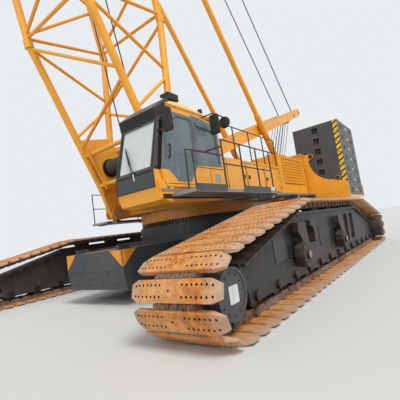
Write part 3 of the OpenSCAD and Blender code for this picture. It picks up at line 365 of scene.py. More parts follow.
def new_group(name, inputs):
    """A shader group: its tree, its wires, what it is given and what it gives."""
    tree = bpy.data.node_groups.new(name, "ShaderNodeTree")
    for label, value in inputs.items():
        kind = "NodeSocketColor" if isinstance(value, tuple) else "NodeSocketFloat"
        tree.interface.new_socket(label, in_out="INPUT", socket_type=kind).default_value = value
    for label, kind in (("Color", "Color"), ("Roughness", "Float"), ("Height", "Float")):
        tree.interface.new_socket(label, in_out="OUTPUT", socket_type="NodeSocket" + kind)
    w = Wires(tree)
    return tree, w, w.node("NodeGroupInput").outputs, w.node("NodeGroupOutput").inputs


def build_wear_group():
    """Paint that is dusty on top, streaked, chipped and rusty at its edges."""
    tree, w, given, result = new_group("Weathered Paint", {
        "Paint": (0.8, 0.4, 0.05, 1), "Rust": (0.2, 0.07, 0.02, 1), "Dust": (0.4, 0.35, 0.28, 1),
        "Chips": 0.3, "Dustiness": 0.4, "Streaks": 0.3, "Gloss Roughness": 0.4, "Edge Width": 0.02})
    coords = w.coords()
    shape = w.node("ShaderNodeNewGeometry").outputs
    # worn edges, where the rounded normal leaves the face's own
    bevel = w.node("ShaderNodeBevel", {"Radius": given["Edge Width"]}, samples=4).outputs["Normal"]
    dot = w.node("ShaderNodeVectorMath", {0: bevel, 1: shape["True Normal"]}, operation="DOT_PRODUCT")
    edge = w.ramp(w.math("SUBTRACT", 1.0, dot.outputs["Value"]), 0.01, 0.16)
    fine = w.noise(coords, 14.0, 6.0, 0.65)
    patch = w.noise(coords, 2.3, 5.0)
    speck = w.noise(coords, 47.0, 3.0)
    spread = w.ramp(w.times(fine, patch), 0.33, 0.42)
    chip = w.math("MAXIMUM", w.times(edge, w.ramp(fine, 0.46, 0.6)), w.times(spread, 0.8))
    chip = w.times(chip, given["Chips"], clamp=True)
    # dust lies on what faces up and in the low places
    flat = w.ramp(w.parts(shape["Normal"])["Z"], 0.35, 0.95)
    cloud = w.ramp(w.noise(coords, 1.1, 6.0, 0.7), 0.3, 0.7)
    dust = w.times(w.plus(w.times(flat, 0.75), w.times(cloud, 0.4)), given["Dustiness"], clamp=True)
    # rain streaks run down
    tall = w.node("ShaderNodeMapping", {"Vector": coords, "Scale": (5.0, 5.0, 0.35)}).outputs["Vector"]
    streak = w.times(w.ramp(w.noise(tall, 2.4, 5.0), 0.48, 0.72), given["Streaks"], clamp=True)
    tone = w.mix(w.ramp(patch, 0.25, 0.75), (0.86, 0.84, 0.82, 1), (1.06, 1.06, 1.06, 1))
    grime = w.mix(streak, w.mix(1.0, given["Paint"], tone, "MULTIPLY"), (0.10, 0.075, 0.05, 1))
    rusty = w.mix(w.ramp(speck, 0.3, 0.7), given["Rust"], (0.30, 0.11, 0.035, 1))
    w.join(w.mix(chip, w.mix(dust, grime, given["Dust"]), rusty), result["Color"])
    rough = w.plus(given["Gloss Roughness"], w.times(dust, 0.4))
    w.join(w.plus(rough, w.times(chip, 0.4), clamp=True), result["Roughness"])
    w.join(w.math("SUBTRACT", w.times(speck, 0.15), chip), result["Height"])
    return tree


def build_rust_group():
    """Cast steel with rust, dried mud and bright rubbed ends."""
    tree, w, given, result = new_group("Rusty Casting", {
        "Rust": (0.4, 0.16, 0.04, 1), "Deep Rust": (0.12, 0.05, 0.02, 1), "Mud": (0.5, 0.4, 0.3, 1),
        "Mud Amount": 0.5, "Grey Ends": 0.5, "Middle": 3.7, "Half Width": 0.5})
    coords = w.coords()
    across = w.math("ABSOLUTE", w.parts(coords)["Y"])
    away = w.math("ABSOLUTE", w.math("SUBTRACT", across, given["Middle"]))
    wide = w.noise(coords, 1.7, 5.0)
    fine = w.noise(coords, 11.0, 7.0, 0.68)
    grit = w.noise(coords, 70.0, 3.0)
    end = w.ramp(w.plus(away, w.times(fine, 0.16)), given["Half Width"], 0.72)
    base = w.mix(w.ramp(fine, 0.36, 0.62), given["Deep Rust"], given["Rust"])
    mud = w.times(w.ramp(wide, 0.38, 0.62), given["Mud Amount"])
    mud = w.plus(mud, w.times(w.ramp(grit, 0.5, 0.72), 0.25), clamp=True)
    muddy = w.mix(mud, base, given["Mud"])
    w.join(w.mix(w.times(end, given["Grey Ends"]), muddy, (0.42, 0.36, 0.31, 1)), result["Color"])
    w.join(w.plus(0.55, w.times(grit, 0.4), clamp=True), result["Roughness"])
    w.join(w.plus(w.times(fine, 0.6), w.times(grit, 0.4)), result["Height"])
    return tree


def new_material(name):
    """A material with nodes: itself, its wires and its shader's inputs."""
    m = bpy.data.materials.new(name)
    m.use_nodes = True
    return m, Wires(m.node_tree), m.node_tree.nodes["Principled BSDF"].inputs


def group_material(name, tree, values, metallic=0.0, bump=0.3, distance=0.004, coat=0.0):
    """A material fed by one of the shared groups."""
    m, w, shader = new_material(name)
    effect = w.node("ShaderNodeGroup", node_tree=tree)
    for key, value in values.items():
        effect.inputs[key].default_value = value
    w.join(metallic, shader["Metallic"])
    w.join(coat, shader["Coat Weight"])
    w.join(effect.outputs["Color"], shader["Base Color"])
    w.join(effect.outputs["Roughness"], shader["Roughness"])
    w.join(w.bump(effect.outputs["Height"], bump, distance), shader["Normal"])
    return m


def plain_material(name, rgb, rough):
    """A matt colour with a little noise in it."""
    m, w, shader = new_material(name)
    dark = tuple(c * 0.7 for c in rgb)
    w.join(w.mix(w.noise(w.coords(), 20.0), linear(dark), linear(rgb)), shader["Base Color"])
    w.join(rough, shader["Roughness"])
    return m


def cloth_material(name, rgb):
    """Woven cloth: crossing threads in colour and bump."""
    m, w, shader = new_material(name)
    coords = w.coords()
    threads = [
        w.node("ShaderNodeTexWave", {"Vector": coords, "Scale": 60.0, "Distortion": 0.6},
               wave_type="BANDS", bands_direction=direction).outputs["Fac"]
        for direction in ("X", "Z")
    ]
    weave = w.times(*threads)
    worn = w.times(w.plus(weave, w.noise(coords, 3.0)), 0.55)
    w.join(w.mix(worn, linear(tuple(c * 0.6 for c in rgb)), linear(rgb)), shader["Base Color"])
    w.join(0.85, shader["Roughness"])
    w.join(0.3, shader["Sheen Weight"])
    w.join(w.bump(weave, 0.4, 0.003), shader["Normal"])
    return m


def glass_material(name, rgb, alpha):
    """Tinted pane: see-through, glossy, a little dusty, and pale on the windscreen as a painted sky
    reflection.
    """
    m, w, shader = new_material(name)
    film = w.times(w.ramp(w.noise(w.coords(), 2.0, 5.0), 0.35, 0.8), 0.25)
    # the windscreen, whose normal points ahead, gets a painted reflection of the bright sky: its colour turns
    # pale
    normal = w.node("ShaderNodeTexCoord").outputs["Normal"]
    sky = w.ramp(w.parts(normal)["X"], 0.5, 0.8)
    pale = w.mix(sky, linear(rgb), linear((0.86, 0.89, 0.88)))
    w.join(w.mix(film, pale, linear((0.72, 0.72, 0.70))), shader["Base Color"])
    w.join(w.plus(0.04, w.times(film, 0.18)), shader["Roughness"])
    w.join(alpha, shader["Alpha"])
    m.surface_render_method = "BLENDED"
    return m


def make_materials():
    """Every finish of the crane, by a plain name."""
    look = bpy.context.scene.crane_look
    wear = build_wear_group()
    cast = build_rust_group()

    def paint(name, rgb, chips, dust, streaks, rough, **more):
        """Paint by its colour and its wear."""
        return group_material(name, wear, {
            "Paint": linear(rgb), "Rust": linear((0.42, 0.22, 0.10)), "Dust": linear((0.55, 0.48, 0.40)),
            "Chips": chips, "Dustiness": dust, "Streaks": streaks, "Gloss Roughness": rough}, **more)

    def casting(name, rust, deep, mud, amount, ends, half, metallic):
        """Rusty cast steel by its colours, its mud and where its rubbed ends begin."""
        return group_material(name, cast, {
            "Rust": linear(rust), "Deep Rust": linear(deep), "Mud": linear(mud), "Mud Amount": amount,
            "Grey Ends": ends, "Middle": look.track_middle, "Half Width": half},
            metallic=metallic, bump=0.5, distance=0.006)

    yellow = tuple(look.yellow)
    MATS.update({
        # [name, colour, chips, dust, streaks, roughness]
        "yellow": paint("Yellow paint", yellow, 0.40, 0.14, 0.10, 0.34, coat=0.25),
        "yellow_clean": paint("Yellow cab paint", yellow, 0.12, 0.08, 0.04, 0.28, coat=0.4),
        # darker, browner yellow: grime, and painted shade on the main frame, upper ring and roof side band
        "yellow_grimy_shaded": paint("Yellow paint, grimy and shaded", (0.80, 0.50, 0.12), 0.6, 0.25, 0.5, 0.45),
        "black": paint("Black paint", (0.10, 0.10, 0.11), 0.35, 0.22, 0.2, 0.45),
        "slate": paint("Blue-grey paint", tuple(look.slate), 0.35, 0.28, 0.3, 0.42),
        "frame": paint("Crawler frame paint", (0.12, 0.135, 0.155), 0.35, 0.30, 0.25, 0.48),
        "steel": paint("Galvanised steel", (0.60, 0.61, 0.62), 0.25, 0.35, 0.35, 0.45, metallic=0.55),
        "rubber": paint("Black rubber", (0.055, 0.055, 0.06), 0.0, 0.18, 0.1, 0.7),
        "grease": paint("Greased steel", (0.20, 0.17, 0.15), 0.3, 0.2, 0.3, 0.38, metallic=0.7),
        "rope": paint("Wire rope", (0.22, 0.20, 0.18), 0.2, 0.1, 0.3, 0.55, metallic=0.5),
        "white": paint("White marker paint", (0.86, 0.87, 0.88), 0.1, 0.15, 0.25, 0.5),
        "hazard_yellow": paint("Hazard yellow", (0.93, 0.80, 0.15), 0.2, 0.15, 0.2, 0.5),
        # black of the stripes, also the painted shadow in the counterweight seams
        "hazard_black": paint("Hazard black and seam shade", (0.06, 0.06, 0.065), 0.1, 0.2, 0.2, 0.5),
        "yellow_pale": paint("Pale roof paint", (0.97, 0.80, 0.42), 0.10, 0.30, 0.12, 0.38, coat=0.2),
        "gloss_black": paint("Glossy black trim", (0.055, 0.065, 0.085), 0.05, 0.06, 0.06, 0.14, coat=0.6),
        "plate": paint("Blank grey plate", (0.62, 0.63, 0.63), 0.1, 0.1, 0.2, 0.4),
        "orange": paint("Orange-yellow triangles", (0.93, 0.60, 0.12), 0.35, 0.25, 0.3, 0.5),
        "dusty": paint("Dusty plate", (0.46, 0.44, 0.41), 0.2, 0.85, 0.2, 0.7),
        "lens": paint("Lamp lens", (0.80, 0.82, 0.80), 0.0, 0.05, 0.05, 0.12, coat=0.8),
        # [name, rust, deep rust, mud, amount of mud, rubbed ends, their distance, metallic]
        "shoes": casting("Rusty track shoes", (0.86, 0.55, 0.24), (0.58, 0.33, 0.13), (0.84, 0.66, 0.46),
                         0.55, 0.6, 0.47, 0.15),
        "links": casting("Track links", (0.52, 0.38, 0.30), (0.20, 0.14, 0.11), (0.62, 0.54, 0.48),
                         0.6, 0.0, 3.0, 0.2),
        "glass": glass_material("Tinted glass", (0.44, 0.51, 0.54), 0.70),
        "glass_border": plain_material("Border of a tinted pane", (0.44, 0.50, 0.53), 0.15),
        "grey_panel": plain_material("Smoked panel", (0.25, 0.27, 0.26), 0.25),
        "mirror": plain_material("Mirror glass", (0.55, 0.58, 0.60), 0.08),
        # near-black: painted shade inside holes
        "hole": plain_material("Hole", (0.02, 0.018, 0.016), 0.9),
        "seat": cloth_material("Blue seat cloth", (0.10, 0.22, 0.55)),
    })


# Settings that a user would change

class CraneLook(bpy.types.PropertyGroup):
    """Colours and sizes of the dressing."""

    yellow: bpy.props.FloatVectorProperty(
        name="Yellow", description="Colour of the painted superstructure", subtype="COLOR",
        default=(0.96, 0.66, 0.14), min=0.0, max=1.0)
    slate: bpy.props.FloatVectorProperty(
        name="Blue-grey", description="Colour of counterweights and ballast", subtype="COLOR",
        default=(0.21, 0.24, 0.27), min=0.0, max=1.0)
    track_middle: bpy.props.FloatProperty(
        name="Track middle", description="Distance of each track from the middle plane",
        default=3.7, unit="LENGTH")


# Stage

def aim_camera():
    """The camera that took the photograph."""
    data = bpy.data.cameras.new("Camera")
    data.sensor_width = SENSOR_MM
    data.lens = CAMERA_FOCAL_PX / IMAGE_PX * SENSOR_MM
    data.clip_end = FAR_CLIP
    ahead = Vector((math.cos(CAMERA_PITCH) * math.cos(CAMERA_YAW),
                    math.cos(CAMERA_PITCH) * math.sin(CAMERA_YAW), math.sin(CAMERA_PITCH)))
    right = ahead.cross(Vector((0, 0, 1))).normalized()
    up = right.cross(ahead)
    c, s = math.cos(CAMERA_ROLL), math.sin(CAMERA_ROLL)
    right, up = c * right + s * up, -s * right + c * up
    turn = Matrix((right, up, -ahead)).transposed().to_4x4()
    camera = add_to_scene("Camera", data)
    camera.matrix_world = Matrix.Translation(at(*CAMERA_PLACE)) @ turn
    bpy.context.scene.camera = camera


def lay_floor():
    """A pale floor under the crane."""
    bm = bmesh.new()
    bmesh.ops.create_grid(bm, x_segments=1, y_segments=1, size=FLOOR_HALF)
    mesh = to_mesh("Floor", bm)
    ground, w, shader = new_material("Pale floor")
    w.join(linear((0.80, 0.80, 0.79)), shader["Base Color"])
    w.join(0.85, shader["Roughness"])
    mesh.materials.append(ground)
    floor = add_to_scene("Floor", mesh)


def light_stage():
    """An overcast sky, brighter to the camera than to the crane, and two soft suns."""
    bpy.context.scene.view_settings.view_transform = "Standard"
    world = bpy.data.worlds.new("Studio")
    bpy.context.scene.world = world
    world.use_nodes = True
    w = Wires(world.node_tree)
    background = world.node_tree.nodes["Background"].inputs
    w.join(linear((0.93, 0.94, 0.95)), background["Color"])
    path = w.node("ShaderNodeLightPath").outputs
    seen = w.math("MAXIMUM", path["Is Camera Ray"], path["Is Glossy Ray"])
    seen = w.math("MAXIMUM", seen, path["Is Transmission Ray"])
    w.join(w.plus(0.55, w.times(seen, 0.42)), background["Strength"])
    for name, aim, energy, angle in (
        ("Key light", (-0.25, -0.62, -1.0), 2.3, 24.0),
        ("Fill light", (-1.0, -0.35, -0.45), 0.9, 60.0),
    ):
        data = bpy.data.lights.new(name, "SUN")
        data.energy = energy
        data.angle = math.radians(angle)
        add_to_scene(name, data).rotation_euler = Vector(aim).to_track_quat("-Z", "Y").to_euler()


class CRANE_OT_stage(bpy.types.Operator):
    """Camera, floor, light and materials"""

    bl_idname = "crane.stage"
    bl_label = "Stage"

    def execute(self, context):
        aim_camera()
        lay_floor()
        light_stage()
        make_materials()
        return {"FINISHED"}


# main_frame and ring_upper take the darker yellow: grime and painted shade
NODE_FINISH = {
    "carbody": "frame", "ballast_blocks": "slate", "ring_lower": "grease",
    "crawler_frame_left": "frame", "crawler_frame_right": "frame", "track_left": "shoes",
    "track_right": "shoes", "idlers": "slate", "drive_wheels": "frame", "rollers": "grease",
    "side_lugs": "black", "ring_upper": "yellow_grimy_shaded",
    "main_frame": "yellow_grimy_shaded", "cab_shell": "yellow_clean", "cab_roof": "yellow_clean",
    "cab_door": "yellow_clean", "cab_glass": "glass", "door_glass": "glass", "cab_seat": "seat",
    "mirrors": "rubber", "housing_left": "yellow", "housing_right": "yellow",
    "housing_door_left": "yellow", "housing_door_right": "yellow", "engine": "black",
    "walkways": "steel", "railings": "black", "counterweight_frame": "yellow",
    "counterweight_slabs": "slate", "luffing_drum": "grease",
    "second_drum": "grease", "mast": "yellow", "mast_block": "black", "frame_block": "black",
    "boom_foot": "yellow", "boom_middle": "yellow", "boom_head": "yellow", "main_drum": "grease",
    "head_sheaves": "black", "pendants": "steel", "backstop_sleeves": "yellow",
    "backstop_middles": "yellow", "backstop_uppers": "yellow", "hook_block": "hazard_yellow",
    "hook": "black",
}


def put_finishes():
    """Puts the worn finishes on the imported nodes."""
    for node, finish in NODE_FINISH.items():
        for s in frame["nodes"][node].material_slots:
            s.link = "OBJECT"
            s.material = MATS[finish]


class CRANE_OT_finishes(bpy.types.Operator):
    """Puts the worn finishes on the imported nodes"""

    bl_idname = "crane.finishes"
    bl_label = "Finishes"

    def execute(self, context):
        put_finishes()
        return {"FINISHED"}


# Tracks

SHOE_WIDTH = 1.30
SHOE_THICK = 0.062
SHOE_LENGTH = 0.250
SHOE_PITCH = 0.293
SHOE_STAND = math.radians(106.5)    # angle on the front end's arc at which one shoe stands
PIN_DEPTH = 0.075
END_RADIUS = 0.532
END_X = 5.028
FLAT_HALF = 2.420
TRACK_HEIGHT = 1.590
SHOE_SLOPE = (0.50, 0.034)          # the outer face slopes from here to the shoe's end, by this much
SHOE_CUT = (0.52, 0.050)            # its corners are cut from here on, by this much
SHOE_COLUMNS = 20
SHOE_ROWS = (-1.0, -0.78, -0.22, 0.22, 0.78, 1.0)
HOLE_COLUMNS = (1, 2, 3, 4, 5, 6, 7, 12, 13, 14, 15, 16, 17, 18)
MIDDLE_HOLE = 9
HOLE_R = 0.0145
HOLE_DEPTH = 0.030
LINK_OUTLINE = ((-0.138, 0.085), (-0.105, 0.050), (0.105, 0.050), (0.138, 0.085), (0.105, 0.168),
                (-0.105, 0.168))
LINK_YS = (-0.235, -0.125, 0.0, 0.125, 0.235)
LINK_HALF = 0.040
KNUCKLE_R = 0.046
KNUCKLE_HALF = 0.024
KNUCKLE_SHIFT = 0.055
PIN_R = 0.026
PIN_HALF = 0.30


class TrackPath:
    """The loop that the link pins follow, seen from the side."""

    def __init__(self):
        """Finds the slope that touches the end's arc, and the loop's length."""
        dx, dz = END_X - FLAT_HALF, TRACK_HEIGHT - END_RADIUS
        reach = math.hypot(dx, dz)
        self.slope = math.atan2(dz, dx) - math.asin(END_RADIUS / reach)
        self.r = END_RADIUS - PIN_DEPTH
        shorter = PIN_DEPTH * math.tan(self.slope / 2)
        self.slope_length = math.sqrt(reach * reach - END_RADIUS ** 2) - shorter
        self.flat = FLAT_HALF - shorter
        self.arc = math.pi - self.slope
        self.length = 2 * (END_X + self.arc * self.r + self.slope_length + self.flat)
        self.shoes = round(self.length / SHOE_PITCH)

    def place(self, s):
        """(x, z, heading) at distance s along the loop."""
        s %= self.length
        if s > self.length / 2:
            x, z, a = self.place(self.length - s)
            return -x, z, 2 * math.pi - a
        if s < END_X:
            return s, PIN_DEPTH, 0.0
        s -= END_X
        a = min(s / self.r, self.arc)
        x, z = END_X + self.r * math.sin(a), END_RADIUS - self.r * math.cos(a)
        s -= self.arc * self.r
        if s < 0:
            return x, z, a
        if s < self.slope_length:
            return x - s * math.cos(self.slope), z + s * math.sin(self.slope), self.arc
        return self.flat - (s - self.slope_length), TRACK_HEIGHT - PIN_DEPTH, math.pi

    def matrices(self, side):
        """One placement for each shoe: x along the track, y across, z inwards from its face."""
        first = END_X + self.r * SHOE_STAND
        for i in range(self.shoes):
            x, z, a = self.place(first - i * self.length / self.shoes)
            c, s = math.cos(a), math.sin(a)
            spot = at(x, side * bpy.context.scene.crane_look.track_middle, z)
            spot += PIN_DEPTH * Vector((s, 0, -c))
            yield Matrix(((c, 0, -s, spot.x), (0, 1, 0, spot.y), (s, 0, c, spot.z), (0, 0, 0, 1)))


def past(y, start):
    """How far y lies on the way from a start to the shoe's end, on either side."""
    return max(0.0, (abs(y) - start) / (SHOE_WIDTH / 2 - start))


def shoe_face_z(y):
    """How far the outer face lies under its own plane: its ends slope away."""
    return SHOE_SLOPE[1] * past(y, SHOE_SLOPE[0])


def shoe_half_length(y):
    """Half the shoe's length, less at its cut corners."""
    return SHOE_LENGTH / 2 - SHOE_CUT[1] * past(y, SHOE_CUT[0])


def shoe_mesh():
    """One shoe with its rows of holes."""
    bm = bmesh.new()
    cell = SHOE_WIDTH / SHOE_COLUMNS
    known = {}

    def vert(i, y):
        """The vertex at row i and y, made once."""
        key = (round(i, 3), round(y, 4))
        if key not in known:
            known[key] = bm.verts.new((i * shoe_half_length(y), y, shoe_face_z(y)))
        return known[key]

    for c in range(SHOE_COLUMNS):
        y0 = -SHOE_WIDTH / 2 + c * cell
        y1, ym = y0 + cell, y0 + cell / 2
        for k in range(len(SHOE_ROWS) - 1):
            i0, i1 = SHOE_ROWS[k], SHOE_ROWS[k + 1]
            im = (i0 + i1) / 2
            if k in (0, 4):
                ring = [vert(i0, y0), vert(i1, y0), vert(i1, y1), vert(i0, y1)]
                ring.insert(2 if k == 0 else 4, vert(i1 if k == 0 else i0, ym))
                bm.faces.new(ring)
                continue
            ring = [vert(i0, y0), vert(im, y0), vert(i1, y0), vert(i1, ym),
                    vert(i1, y1), vert(im, y1), vert(i0, y1), vert(i0, ym)]
            if not (k in (1, 3) and c in HOLE_COLUMNS or k == 2 and c == MIDDLE_HOLE):
                bm.faces.new(ring)
                continue
            x = im * shoe_half_length(ym)
            lip, floor = [], []
            for v in ring:
                a = math.atan2(v.co.y - ym, v.co.x - x)
                p = (x + HOLE_R * math.cos(a), ym + HOLE_R * math.sin(a))
                lip.append(bm.verts.new((*p, shoe_face_z(ym))))
                floor.append(bm.verts.new((*p, shoe_face_z(ym) + HOLE_DEPTH)))
            # hole walls and floor take the second finish, near-black painted shade
            for a in range(8):
                b = (a + 1) % 8
                bm.faces.new((ring[a], ring[b], lip[b], lip[a]))
                bm.faces.new((lip[a], lip[b], floor[b], floor[a])).material_index = 1
            bm.faces.new(floor).material_index = 1
    rim = [e for e in bm.edges if e.is_boundary]
    wall = bmesh.ops.extrude_edge_only(bm, edges=rim)["geom"]
    for v in wall:
        if isinstance(v, bmesh.types.BMVert):
            v.co.z = SHOE_THICK
    back = [e for e in wall if isinstance(e, bmesh.types.BMEdge) and e.is_boundary]
    bmesh.ops.contextual_create(bm, geom=back)
    return to_mesh("One shoe", bm)


def link_mesh():
    """The links under one shoe, and the knuckles that show in the gap beside it."""
    bm = bmesh.new()
    ahead = SHOE_PITCH / 2
    for y in LINK_YS:
        add_prism(bm, LINK_OUTLINE, lambda x, z: Vector((x, y - LINK_HALF, z)), (0, 2 * LINK_HALF, 0))
    for x, middle, half, r, sides in (
        [(ahead, y, KNUCKLE_HALF, KNUCKLE_R, 10) for y in LINK_YS]
        + [(-ahead, y + KNUCKLE_SHIFT, KNUCKLE_HALF, KNUCKLE_R, 10) for y in LINK_YS]
        + [(ahead, 0.0, PIN_HALF, PIN_R, 8)]
    ):
        add_rod(bm, (x, middle - half, PIN_DEPTH), (x, middle + half, PIN_DEPTH), r, sides)
    return to_mesh("One link", bm)


def repeated(source, places):
    """A bmesh of the source mesh repeated at each place."""
    bm = bmesh.new()
    for m in places:
        start = len(bm.verts)
        bm.from_mesh(source)
        bm.verts.ensure_lookup_table()
        bmesh.ops.transform(bm, matrix=m, verts=bm.verts[start:])
    return bm


def build_tracks():
    """Shoes and links along both loops."""
    path = TrackPath()
    shoe, link = shoe_mesh(), link_mesh()
    for name, side in (("left", 1), ("right", -1)):
        # the shoes' second finish is the near-black painted shade in their holes
        new_piece("track_shoes_" + name, repeated(shoe, path.matrices(side)), "undercarriage", "shoes hole",
                  replaces=["track_" + name])
        new_piece("track_links_" + name, repeated(link, path.matrices(side)), "undercarriage", "links")


class CRANE_OT_tracks(bpy.types.Operator):
    """Track shoes with their holes, and the links between them"""

    bl_idname = "crane.tracks"
    bl_label = "Tracks"

    def execute(self, context):
        build_tracks()
        return {"FINISHED"}


# Cab. Outlines on its side are (x, z) from the slewing axis; fronts are (y, z)

DOOR_FACE = 2.450
WALL_FACE = 2.400
INNER_FACE = 1.400
PLATE = 0.004
SEAL = 0.010
DOOR_TINT = ((2.972, 2.560), (3.262, 2.222), (3.628, 2.222), (3.862, 2.428), (4.052, 2.428), (3.826, 3.415),
             (3.478, 3.564), (2.972, 3.564))
DOOR_PANE = ((3.030, 2.590), (3.290, 2.270), (3.600, 2.270), (3.840, 2.480), (3.960, 2.500), (3.790, 3.350),
             (3.440, 3.510), (3.030, 3.510))
DOOR_EDGE = ((4.060, 2.420), (3.830, 3.420), (3.480, 3.570), (3.484, 3.577), (3.835, 3.425), (4.066, 2.421))
DOOR_HANDLE = ((3.780, 0.0, 2.900), (3.785, 0.040, 2.880), (3.830, 0.040, 2.660), (3.835, 0.0, 2.640))
QUARTER_TINT = ((2.010, 2.612), (2.945, 2.582), (2.945, 3.650), (2.030, 3.560))
QUARTER_PANE = ((2.070, 2.650), (2.830, 2.620), (2.850, 3.460), (2.090, 3.420))
INNER_TINT = ((2.050, 2.610), (3.975, 2.420), (3.850, 3.345), (3.520, 3.545), (2.050, 3.515))
INNER_PANE = ((2.110, 2.680), (3.900, 2.480), (3.780, 3.300), (3.480, 3.470), (2.110, 3.440))
PILLAR = ((4.062, 2.425), (4.198, 2.425), (3.920, 3.388), (3.590, 3.660), (3.565, 3.640), (3.832, 3.415))
SCREEN_FOOT = Vector((4.200, 2.420))
SCREEN_TOP = Vector((3.920, 3.390))
SCREEN_Y = (1.402, 2.398)
WIPER_Y = 1.880
ROOF_X = (2.020, 3.640)
ROOF_Y = (1.420, 2.380)
ROOF_NOSE = (2.560, 1.420)
ROOF_Z = (3.6703, 3.745, 3.975)
VISOR = ((3.520, 3.850), (3.620, 3.845), (3.955, 3.600), (3.983, 3.572), (3.940, 3.566), (3.620, 3.790),
         (3.530, 3.795))
VISOR_RIB = ((3.60, 3.72), (3.66, 3.80), (3.93, 3.60), (3.93, 3.58))
# black panel and cheeks under the visor, and the brow below them: painted shade
VISOR_SHADE_PANEL = ((3.962, 3.576), (3.974, 3.568), (3.932, 3.380), (3.920, 3.384))
VISOR_SHADE_CHEEK = ((3.965, 3.572), (3.925, 3.388), (3.580, 3.660), (3.640, 3.780))
SHADED_BROW = ((3.924, 3.392), (3.562, 3.674), (3.556, 3.668), (3.916, 3.386))
NOSE_X = 4.200
SEAT_MIDDLE = 1.8525
PAD_CELL = 0.012
SWELL_FRAMES = 20
GRAB_Y = (2.970, 2.570)
ROUND_MIRROR = (2.700, 3.547)
WALK_TOP = 1.980


def on_screen(y, t, out=0.0):
    """A point on the windscreen: t up its slope, out in front of it."""
    slope = (SCREEN_TOP - SCREEN_FOOT).normalized()
    p = SCREEN_FOOT + slope * t + Vector((slope.y, -slope.x)) * out
    return at(p.x, y, p.y)


def build_door_trim():
    """Tinted border of the door's pane, its black front edge, its seams and its handle."""
    bm = bmesh.new()
    add_frame(bm, DOOR_TINT, DOOR_PANE, side_at(DOOR_FACE), (0, PLATE, 0), mat=2)
    add_rim(bm, DOOR_PANE, SEAL, side_at(DOOR_FACE + PLATE), (0, -0.021, 0), mat=2)
    add_prism(bm, DOOR_EDGE, side_at(DOOR_FACE - 0.044), (0, 0.046, 0))
    add_boxes(bm, [(2.985, 3.002, DOOR_FACE, DOOR_FACE + 0.006, 2.550, 3.560, 1),
                   (3.000, 3.920, DOOR_FACE, DOOR_FACE + 0.002, 2.170, 2.180, 1)])
    add_pipe(bm, [at(x, DOOR_FACE + out, z) for x, out, z in DOOR_HANDLE], 0.017, mat=1)
    new_piece("cab_door_trim", bm, "cab_door", "gloss_black rubber glass_border")


def build_wall_trim():
    """Borders of the side windows, pillars, plates and seams on the cab's walls."""
    bm = bmesh.new()
    add_frame(bm, QUARTER_TINT, QUARTER_PANE, side_at(WALL_FACE), (0, PLATE, 0), mat=4)
    add_rim(bm, QUARTER_PANE, SEAL, side_at(WALL_FACE + PLATE), (0, -0.031, 0), mat=4)
    add_frame(bm, INNER_TINT, INNER_PANE, side_at(INNER_FACE), (0, -PLATE, 0))
    add_rim(bm, INNER_PANE, SEAL, side_at(INNER_FACE - PLATE), (0, 0.023, 0))
    for y, out in ((WALL_FACE, PLATE), (INNER_FACE, -PLATE)):
        add_prism(bm, PILLAR, side_at(y), (0, out, 0))
    # seal and grille of the rear wall, blank plate behind the door
    add_rim(bm, rounded(rect(1.535, 2.265, 2.655, 3.455), 0.06), 0.04, front_at(1.960), (-0.010, 0, 0), mat=1)
    add_boxes(bm, [(1.952, 1.960, 1.60, 2.25, z, z + 0.022, 1) for z in [2.08 + 0.05 * i for i in range(8)]])
    add_prism(bm, rounded(rect(2.130, 2.330, 2.270, 2.450), 0.02), side_at(WALL_FACE), (0, PLATE, 0), mat=3)
    # slit behind the door, two seams, then a silver sill over a black edge
    proud, back = WALL_FACE + 0.003, DOOR_FACE - 0.002
    add_boxes(bm, [(1.99, 2.90, WALL_FACE, proud, 2.548, 2.562, 1),
                   (2.50, 2.508, WALL_FACE, proud, 2.10, 2.54, 1),
                   (2.905, 2.913, WALL_FACE, proud, 2.10, 2.54, 1),
                   (2.16, 4.13, back, DOOR_FACE + 0.012, 2.036, 2.076, 2),
                   (2.16, 4.10, back, DOOR_FACE + 0.004, 1.900, 1.985, 1)])
    corners = [at(x, WALL_FACE, z) for x in (2.06, 2.44) for z in (2.14, 2.50)]
    add_bolts(bm, corners, (0, 1, 0), 0.010, 0.003, mat=1)
    new_piece("cab_wall_trim", bm, "superstructure", "gloss_black rubber steel plate glass_border")


def build_grab_rails():
    """Black rails beside the cab's door, standing on the walkway."""
    bm = bmesh.new()
    outer, inner = GRAB_Y
    add_pipe(bm, [at(2.850, outer, 2.655), at(3.820, outer, 2.640), at(3.820, outer, WALK_TOP)], 0.017)
    add_pipe(bm, [at(2.850, outer, 2.834), at(2.850, inner, 2.834), at(3.480, inner, 2.810),
                  at(3.520, inner, WALK_TOP)], 0.016)
    new_piece("cab_grab_rails", bm, "superstructure", "black", smooth=True)


